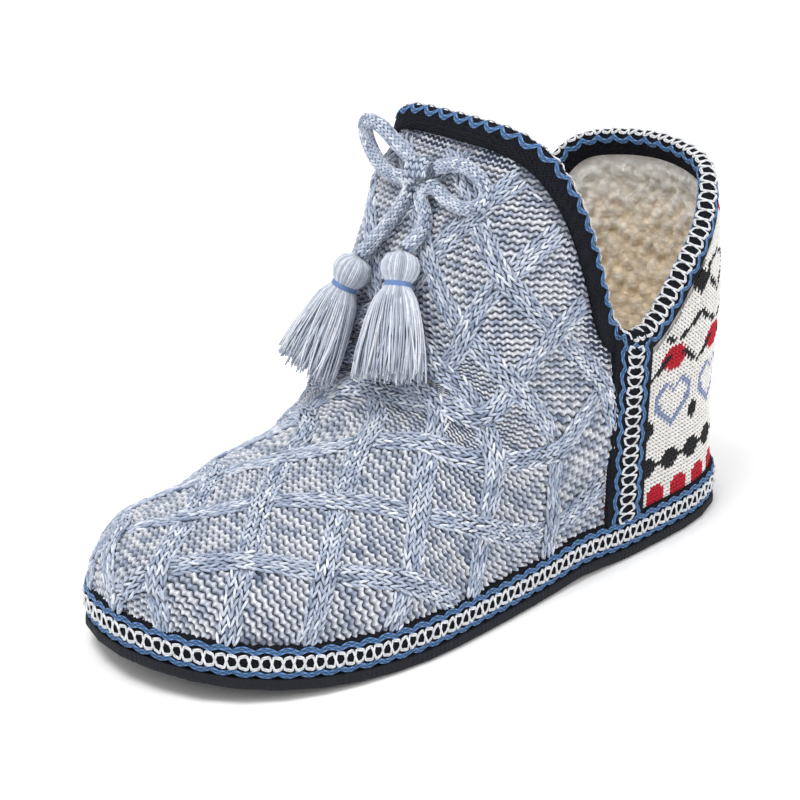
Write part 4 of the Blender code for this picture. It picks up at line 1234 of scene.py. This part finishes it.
# %% Ribbon folded over the collar
every_point = np.concatenate([FRONT.points.reshape(-1, 3), BACK.points.reshape(-1, 3)])
tree_faces, start = [], 0
for panel in (FRONT, BACK):
    rows, cols = panel.shape
    grid = np.arange(rows * cols).reshape(rows, cols)[::3, ::3] + start
    tree_faces.append(np.stack([grid[:-1, :-1], grid[1:, :-1], grid[1:, 1:], grid[:-1, 1:]], -1).reshape(-1, 4))
    start += rows * cols
OUTER = BVHTree.FromPolygons(every_point.tolist(), np.concatenate(tree_faces).tolist())
rim = soften_ring(rim, 6, 2)
rim = np.vstack([rim, rim[:1]])
rim_run = run_of(rim)
rim_flow = np.roll(rim[:-1], -1, 0) - np.roll(rim[:-1], 1, 0)
rim_flow = unit(np.vstack([rim_flow, rim_flow[:1]]))


def outer_normal(point):
    found = OUTER.find_nearest(Vector(point))
    normal, at = np.array(found[1]), np.array(found[0])
    from_inside = at - np.array([at[0] * 0.4 - 0.03, 0.0, at[2]])
    return at, normal if np.dot(normal, from_inside) > 0 else -normal


rim_out = np.array([outer_normal(p)[1] for p in rim])
rim_out = soften_ring(rim_out[:-1], 14, 1)
rim_out = np.vstack([rim_out, rim_out[:1]])
rim_out = unit(rim_out - rim_flow * (rim_out * rim_flow).sum(1, keepdims=True))
rim_down = np.cross(rim_flow, rim_out)
if rim_down[:, 2].sum() > 0:
    rim_down = -rim_down
FOLD_LEVELS = 6
fold_places = np.zeros((len(rim), FOLD_LEVELS + 1, 3))
fold_normals = np.zeros_like(fold_places)
for i in range(len(rim)):
    for k in range(FOLD_LEVELS + 1):
        deep = BINDING_DEPTH * k / FOLD_LEVELS
        at, _ = outer_normal(rim[i] + rim_down[i] * deep)
        fold_places[i, k] = at if k else rim[i]
        fold_normals[i, k] = rim_out[i]
fold_places = soften(fold_places, 8)
find_fold = table_place(fold_places, fold_normals, rim_run)
FOLD_RADIUS = WALL / 2 + 1.35 * MM
FOLD_HALF = FOLD_RADIUS * math.pi / 2


def on_fold(along, across, out):
    """Across is 0 on the fold, above zero outside the shoe and below zero inside it."""
    along = np.mod(along, rim_run[-1])
    beyond = np.clip(np.abs(across) - FOLD_HALF, 0, None)
    level = (beyond + 0.9 * MM) / BINDING_DEPTH
    base, normal = find_fold(along, level)
    down = unit(look_up(along, rim_run, rim_down))
    turn_by = np.clip(across / FOLD_RADIUS, -math.pi / 2, math.pi / 2)
    ray = normal * np.sin(turn_by)[:, None] - down * np.cos(turn_by)[:, None]
    return base - normal * (WALL / 2) + ray * (FOLD_RADIUS + out)[:, None], ray


FOLD_PROFILE = np.array(                             # across and out in mm: the face, then the side turned in
    [(10.6, -0.5)] + [(a, 0.0) for a in (10.0, 8.0, 6.2, 4.5, 3.0, 1.5, 0.0, -1.5, -3.0, -4.5, -6.2, -8.0, -10.0)]
    + [(-10.6, -0.5)] + [(a, -1.3) for a in (-10.6, -6.2, -3.0, 0.0, 3.0, 6.2, 10.6)]) * MM


def white_row_drift(along):
    """On the flap the white row lies just inside the fold, round the heel just outside it."""
    x = np.interp(np.mod(along, rim_run[-1]), rim_run, rim[:, 0]) + LENGTH / 2
    return (-1.9 + 3.3 * np.clip((0.088 - x) / 0.020, 0, 1)) * MM


ribbon("collar_ribbon", on_fold, rim_run[-1], FOLD_PROFILE, 0.0, 7.0 * MM, 2.7 * MM,
       ((3.3 * MM, 2.6 * MM, 1), (-3.4 * MM, 1.7 * MM, -1)), "collar_binding", True, white_row_drift)

# %% [markdown]
# ## Footbed and outsole
# The footbed is a cushion of the same fleece, so it is made as one crowned pad with pile on it. The
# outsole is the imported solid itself: a soft black sole, moulded with a fine tread of small bars.

# %% Fleece footbed
PAD_INSET, PAD_BASE, PAD_CROWN = 4.1 * MM, 6.6 * MM, 4.4 * MM
PAD_CURL, PAD_SKIN, PAD_HALF_LENGTH = 0.5 * MM, 1.6 * MM, 0.486      # the last one in shoe lengths
bm = bmesh.new()
bmesh.ops.create_grid(bm, x_segments=120, y_segments=48, size=1.0)
for v in bm.verts:
    x = LENGTH * (0.5 + PAD_HALF_LENGTH * math.sin(v.co.x * math.pi / 2))
    left, right = float(half_width(1, x)) - PAD_INSET, float(half_width(-1, x)) + PAD_INSET
    left, right = max(left, 0.5 * MM), min(right, -0.5 * MM)
    y = (left + right) / 2 + (left - right) / 2 * math.sin(v.co.y * math.pi / 2)
    crown = (1 - v.co.x ** 4) * (1 - v.co.y ** 4)
    z = PAD_BASE + PAD_CROWN * math.sqrt(max(crown, 0.0)) + float(lift(x))
    v.co = (x - LENGTH / 2, y + float(turn(x)), z)
for v, curl in zip(bm.verts, soft_noise(np.array([v.co for v in bm.verts]), 5.5 * MM, 3)):
    v.co.z += PAD_CURL * curl
bmesh.ops.recalc_face_normals(bm, faces=bm.faces)
if sum(f.normal.z for f in bm.faces) < 0:
    bmesh.ops.reverse_faces(bm, faces=bm.faces)
bmesh.ops.solidify(bm, geom=list(bm.faces), thickness=PAD_SKIN)
bmesh.ops.recalc_face_normals(bm, faces=bm.faces)
footbed_mesh = bpy.data.meshes.new("fleece_footbed")
bm.to_mesh(footbed_mesh)
bm.free()
footbed = ridden("fleece_footbed", footbed_mesh, FLEECE, CREAM * 0.5 + TAN * 0.5)
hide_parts("insole")
print("footbed faces:", len(footbed_mesh.polygons))

# %% Outsole finish
SOLE, sole_shader = material_of(                                 # soft moulded sole: black, dull, fine bars
    "outsole_tpr_moulded", {"Roughness": 0.8, "Specular IOR Level": 0.2})
BAR_PITCH = 3.2 * MM
sole_place = add(SOLE, "ShaderNodeTexCoord").outputs["Object"]
bars = [add(SOLE, "ShaderNodeTexWave",
            {"Vector": sole_place, "Scale": 1 / BAR_PITCH / 6.283 * 3.14, "Distortion": 0.0},
            wave_type="BANDS", bands_direction=way).outputs["Fac"] for way in "XY"]
sole_bumps = add(SOLE, "ShaderNodeMath", {0: bars[0], 1: bars[1]}, operation="MULTIPLY")
sole_grit = add(SOLE, "ShaderNodeTexNoise",
                {"Vector": sole_place, "Scale": 1 / (0.6 * MM), "Detail": 4.0}).outputs["Fac"]
sole_height = add(SOLE, "ShaderNodeMath", {0: sole_grit, 1: 0.35, 2: sole_bumps.outputs[0]},
                  operation="MULTIPLY_ADD")
relief(SOLE, sole_shader, sole_height.outputs[0], 0.6, 0.5 * MM)
link(SOLE, ramp(SOLE, sole_grit, "#111216", "#25272E"), sole_shader.inputs["Base Color"])
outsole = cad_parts["outsole"]
for slot in outsole.material_slots:
    slot.material = SOLE
print("outsole slots:", len(outsole.material_slots))

# %% [markdown]
# ## The bow
# A cord knitted as a narrow tube is tied in a bow on the flap. Each half of it is one length: out of
# the knot, round its loop, back to the knot and down to its tassel. The tube's own stitches are laid
# over a core in rings, and they turn with the cord.

# %% Cord routes, in metres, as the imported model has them
LOOP_LEFT = (
    (-3.5, 2.0, 142.2), (-4.3, 5.3, 143.2), (-4.7, 8.2, 144.1), (-4.9, 11.1, 144.5), (-4.9, 14.1, 144.4),
    (-4.8, 17.1, 143.7), (-4.7, 19.7, 142.5), (-4.8, 22.1, 140.7), (-4.6, 23.8, 138.7), (-4.1, 24.3, 136.8),
    (-3.1, 24.0, 134.9), (-2.2, 22.9, 133.4), (-1.5, 21.0, 132.5), (-1.0, 18.4, 132.0), (-0.7, 15.8, 131.8),
    (-0.7, 13.4, 131.9), (-0.8, 10.9, 132.4), (-0.9, 8.4, 133.2), (-1.0, 5.9, 134.4), (-1.1, 1.9, 136.6))
LOOP_RIGHT = (
    (-3.5, -10.0, 142.1), (-3.8, -13.1, 143.7), (-3.5, -15.3, 145.2), (-3.1, -17.6, 146.8), (-2.7, -20.6, 148.8),
    (-2.6, -22.5, 150.6), (-2.9, -25.6, 151.5), (-3.2, -28.7, 151.9), (-3.5, -30.9, 151.7), (-4.6, -33.7, 151.3),
    (-5.6, -35.5, 150.3), (-5.7, -36.0, 148.7), (-5.6, -35.2, 146.4), (-5.0, -34.1, 144.8), (-4.0, -32.0, 143.3),
    (-3.1, -29.7, 142.1), (-2.6, -27.8, 140.4), (-1.9, -25.4, 139.0), (-1.4, -22.4, 137.7), (-1.2, -20.2, 136.7),
    (-1.1, -17.9, 136.1), (-1.1, -14.7, 135.9), (-1.2, -9.9, 136.6))
END_LEFT = (
    (0.3, -2.6, 133.5), (0.8, -1.6, 130.9), (1.2, -0.2, 129.2), (1.5, 1.1, 127.6), (2.0, 2.2, 126.1),
    (2.5, 2.6, 124.6), (3.3, 2.4, 122.6), (4.1, 1.9, 121.3), (5.4, 1.3, 119.6), (7.1, 0.6, 118.0),
    (9.5, -0.6, 116.1))
END_RIGHT = (
    (0.1, -6.9, 134.0), (0.8, -8.4, 130.9), (1.4, -9.6, 128.7), (1.9, -10.8, 126.5), (2.5, -12.0, 124.4),
    (3.0, -13.2, 122.4), (3.7, -14.4, 120.5), (4.4, -15.5, 118.7), (5.2, -16.6, 116.9), (6.3, -17.5, 115.3),
    (7.5, -18.3, 113.8), (8.8, -19.0, 112.3), (10.7, -20.4, 110.0))
CORD_DIAMETER = 0.0050
CORD_EASE = 26           # passes of easing: the cord is thick, so it turns in a bend at the knot


def cord_frame(path, first_out):
    """Tangents and a side direction carried along a path without twist."""
    flow = unit(np.gradient(path, axis=0))
    side = np.zeros_like(path)
    now = np.array(first_out, float)
    for k in range(len(path)):
        now = side[k] = unit(now - flow[k] * np.dot(now, flow[k]))
    return flow, side


CORD_LEG, CORD_LEG_SIZE = grain_shape(5, 3), (3.0 * MM, 0.98 * MM, 0.95 * MM)
STITCHES_ROUND, CORD_ROW = 8, 1.9 * MM
CORE_SHARE, LEG_SHARE = 0.84, 0.86     # of the cord's radius: the core, and the middle of its stitches


def knit_tube(path, out, radius=CORD_DIAMETER / 2):
    """Core and stitches of one knitted tube along a path; the core is painted shade."""
    flow, side = cord_frame(path, out)
    core_points, core_faces = ring_tube(path, side, radius * CORE_SHARE, 10)
    run = run_of(path)
    stops = np.arange(CORD_ROW * 0.4, run[-1], CORD_ROW)
    at, ahead, aside = (look_up(stops, run, table) for table in (path, flow, side))
    third = np.cross(ahead, aside)
    legs, tints = [], []
    for stitch in range(STITCHES_ROUND):
        for leg in (-1, 1):
            angle = (stitch + 0.5 + leg * 0.25) * 2 * math.pi / STITCHES_ROUND
            ray = aside * math.cos(angle) + third * math.sin(angle)
            tangent = -aside * math.sin(angle) + third * math.cos(angle)
            way = ahead + tangent * leg * 0.38
            legs.append(grains(CORD_LEG, at + ray * radius * LEG_SHARE, way, ray, *CORD_LEG_SIZE))
            tints.append(np.repeat(heather(len(stops), 0.7), len(CORD_LEG[0]), axis=0))
    # painted shade: the core shows between the stitches as a dark
    return join([(core_points, core_faces, PAINTED_SHADE * 0.5 + DEEP_HEATHER * 0.5),
                 (*repeat(CORD_LEG, np.concatenate(legs)), np.concatenate(tints))])


CORD_WOOL = yarn_material("cord_knit_yarn", 0.3, 0.4, 0.2)


# %% [markdown]
# ## Tassels
# A tassel is a bundle of strands folded over the cord's end: a round head, a tight wrap in a brighter
# blue, and a skirt that spreads and ends unevenly. The strands are thin tubes, each with its own
# length and bend, joined into one mesh.

# %% Tassels
TASSEL_HEAD, TASSEL_LENGTH = 0.0130, 0.043
HEAD_STRANDS, SKIRT_STRANDS, WRAP_TURNS = 56, 300, 3
WRAP_BLUE = rgb("#6A86B4")
TASSEL_PROFILE = np.array((          # share of the length, then half width and half depth in head radii
    (0.0, 0.1, 0.1), (0.015, 0.45, 0.45), (0.05, 0.8, 0.8), (0.1, 0.98, 0.98), (0.15, 1.0, 1.0),
    (0.2, 0.9, 0.9), (0.245, 0.6, 0.6), (0.28, 0.56, 0.56), (0.32, 0.9, 0.82), (0.4, 1.28, 1.02),
    (0.55, 1.66, 1.14), (0.75, 2.0, 1.24), (1.0, 2.2, 1.28)))


def tassel(name, top, node):
    """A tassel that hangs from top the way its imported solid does."""
    solid = np.array([v.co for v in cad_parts[node].data.vertices])
    away = np.linalg.norm(solid - top, axis=1)
    bottom = solid[away > np.percentile(away, 75)].mean(0)
    axis = unit(bottom - top)
    out = outer_normal(bottom)[1]
    side = unit(np.cross(axis, out))
    depth = np.cross(side, axis)
    if np.dot(depth, out) < 0:
        depth = -depth
    radius, parts = TASSEL_HEAD / 2 * 0.97, []

    def strand(angle, reach, begin, end, thick, tone, bend):
        share = np.linspace(begin, end, 9)
        if begin < 0.3:               # round the head too, where the path bends most
            share = np.concatenate([np.linspace(begin, 0.36, 8)[:-1], np.linspace(0.36, end, 7)])
        wide = np.interp(share, TASSEL_PROFILE[:, 0], TASSEL_PROFILE[:, 1]) * radius * reach
        deep = np.interp(share, TASSEL_PROFILE[:, 0], TASSEL_PROFILE[:, 2]) * radius * reach
        low = np.clip((share - 0.4) / 0.6, 0, 1) ** 1.5
        turned = angle + bend[0] * low
        path = (top + axis * (share * TASSEL_LENGTH)[:, None]
                + side * (wide * np.cos(turned) + bend[1] * low)[:, None]
                + depth * (deep * np.sin(turned) - 0.3 * abs(bend[2]) * low)[:, None])
        ray = side * math.cos(angle) + depth * math.sin(angle)
        tubes, faces = ring_tube(path, np.broadcast_to(ray, path.shape), thick, 4)
        parts.append((tubes, faces, tone))

    def wave():
        return rng.normal(0, 0.20), rng.normal(0, 1.3 * MM), rng.normal(0, 1.0 * MM)

    for k in range(HEAD_STRANDS):
        strand(2 * math.pi * k / HEAD_STRANDS, 1.0, 0.0, 0.97 + rng.normal(0, 0.025),
               0.36 * MM, heather(1, 0.8)[0] * 0.65 + LIGHT_HEATHER * 0.32, wave())
    for _ in range(SKIRT_STRANDS):
        strand(rng.uniform(0, 6.283), math.sqrt(rng.uniform(0.10, 1.08)), 0.305, 0.96 + rng.normal(0, 0.035),
               0.29 * MM, heather(1, 1.5)[0] * 0.75 + LIGHT_HEATHER * 0.27, wave())
    for turn_no in range(WRAP_TURNS):
        level = 0.252 + 0.013 * turn_no
        angle = np.linspace(0, 2 * math.pi, 33)[:-1]
        ray = np.cos(angle)[:, None] * side + np.sin(angle)[:, None] * depth
        path = top + axis * level * TASSEL_LENGTH + radius * 0.66 * ray
        parts.append((*ring_tube(path, ray, 0.52 * MM, 5, True), WRAP_BLUE))
    bm = bmesh.new()
    bmesh.ops.create_uvsphere(bm, u_segments=20, v_segments=12, radius=radius * 0.86)
    ball = np.array([v.co for v in bm.verts])
    ball_faces = [[v.index for v in f.verts][::-1] for f in bm.faces]
    bm.free()
    ball = top + axis * 0.135 * TASSEL_LENGTH + ball[:, :1] * side + ball[:, 1:2] * depth + ball[:, 2:] * axis
    # painted shade: a dark ball inside the head, seen between the strands
    parts.append((ball, ball_faces, PAINTED_SHADE))
    points, faces, tint = join(parts)
    thing = mesh_piece(name, points, faces, CORD_WOOL, np.clip(tint, 0, 1))
    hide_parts(node)
    print(name, "triangles:", sum(len(f) - 2 for f in faces))
    return thing


# %% Cords, knot and tassels
KNOT_CENTRE, KNOT_OUT = np.array((-1.1, -4.0, 140.0)) * MM, np.array((0.9105, -0.002, 0.4136))
knot_side = np.array((0.0, 1.0, 0.0))
knot_up = np.cross(KNOT_OUT, knot_side)
if knot_up[2] < 0:
    knot_up = -knot_up
swing = np.linspace(-0.5, 2 * math.pi * 1.25 - 0.5, 44)
knot_path = (KNOT_CENTRE + np.outer(np.cos(swing) * 2.5 * MM, KNOT_OUT)
             + np.outer(np.sin(swing) * 3.5 * MM, knot_up)
             + np.outer(np.linspace(2.4, -2.4, 44) * MM, knot_side))
points, faces, tint = knit_tube(knot_path, knot_side, 2.4 * MM)
knot = mesh_piece("bow_knot_wrap", points, faces, CORD_WOOL, np.clip(tint, 0, 1))
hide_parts("bow_knot")

for hand, loop, end in (("left", LOOP_LEFT, END_LEFT), ("right", LOOP_RIGHT, END_RIGHT)):
    route = np.array(loop + end) * MM
    whole = even(soften(even(spline(route, 12), 140), CORD_EASE), 100)
    hanging = tassel("tassel_yarn_" + hand, whole[-1] + unit(whole[-1] - whole[-3]) * 0.4 * MM, "tassel_" + hand)
    points, faces, tint = knit_tube(whole, KNOT_OUT)
    thing = mesh_piece("bow_cord_" + hand, points, faces, CORD_WOOL, np.clip(tint, 0, 1))
    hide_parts("bow_loop_" + hand, "cord_end_" + hand)
    length = float(run_of(whole)[-1])
    print(thing.name, "length in mm:", round(length / MM, 1))

# %% [markdown]
# ## Floor and light
# A catalogue photo is lit from all sides on a white sweep, so shadows are soft and short. Two big
# soft lights and a bright world give that. The floor is stage, not part of the slipper.

# %% Floor, lights and world
FLOOR, floor_shader = material_of("studio_paper_sweep", {"Roughness": 0.9})       # matt white paper
floor_place = add(FLOOR, "ShaderNodeTexCoord").outputs["Object"]
floor_noise = add(FLOOR, "ShaderNodeTexNoise", {"Vector": floor_place, "Scale": 3.0})
link(FLOOR, ramp(FLOOR, floor_noise.outputs["Fac"], "#FCFCFC", "#FFFFFF"), floor_shader.inputs["Base Color"])
bm = bmesh.new()
bmesh.ops.create_grid(bm, x_segments=2, y_segments=2, size=6.0)
floor_mesh = bpy.data.meshes.new("floor")
bm.to_mesh(floor_mesh)
bm.free()
floor_mesh.transform(Matrix.Translation((0, 0, CAD_BOX[0][2] - 0.3 * MM)))
floor = show("floor", floor_mesh, FLOOR)
floor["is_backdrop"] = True


def soft_light(name, place, aim, size, power):
    lamp = bpy.data.lights.new(name, "AREA")
    lamp.shape, lamp.size, lamp.energy = "DISK", size, power
    aim_at(show(name, lamp), place, aim)


soft_light("key_light", (0.7, 0.1, 1.6), (0, 0, 0.05), 0.7, 15)
soft_light("side_light", (-0.5, 1.5, 1.1), (0, 0, 0.05), 0.8, 6)
world = bpy.data.worlds.new("studio")
world.use_nodes = True
world.node_tree.nodes["Background"].inputs["Color"].default_value = (1, 1, 1, 1)
world.node_tree.nodes["Background"].inputs["Strength"].default_value = 0.94
bpy.context.scene.world = world
bpy.context.scene.view_settings.view_transform = "Standard"

# %% Sizes and finish
added = [thing for thing in bpy.data.objects if thing.type == "MESH" and thing.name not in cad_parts]
total = sum(len(p.vertices) - 2 for thing in added for p in thing.data.polygons)
print("triangles added in all:", total)
VISUAL_BOX = [[float(x) for x in corner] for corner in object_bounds()]
print("cad box in mm:", [[round(x / MM, 1) for x in corner] for corner in CAD_BOX])
print("visual box in mm:", [[round(x / MM, 1) for x in corner] for corner in VISUAL_BOX])
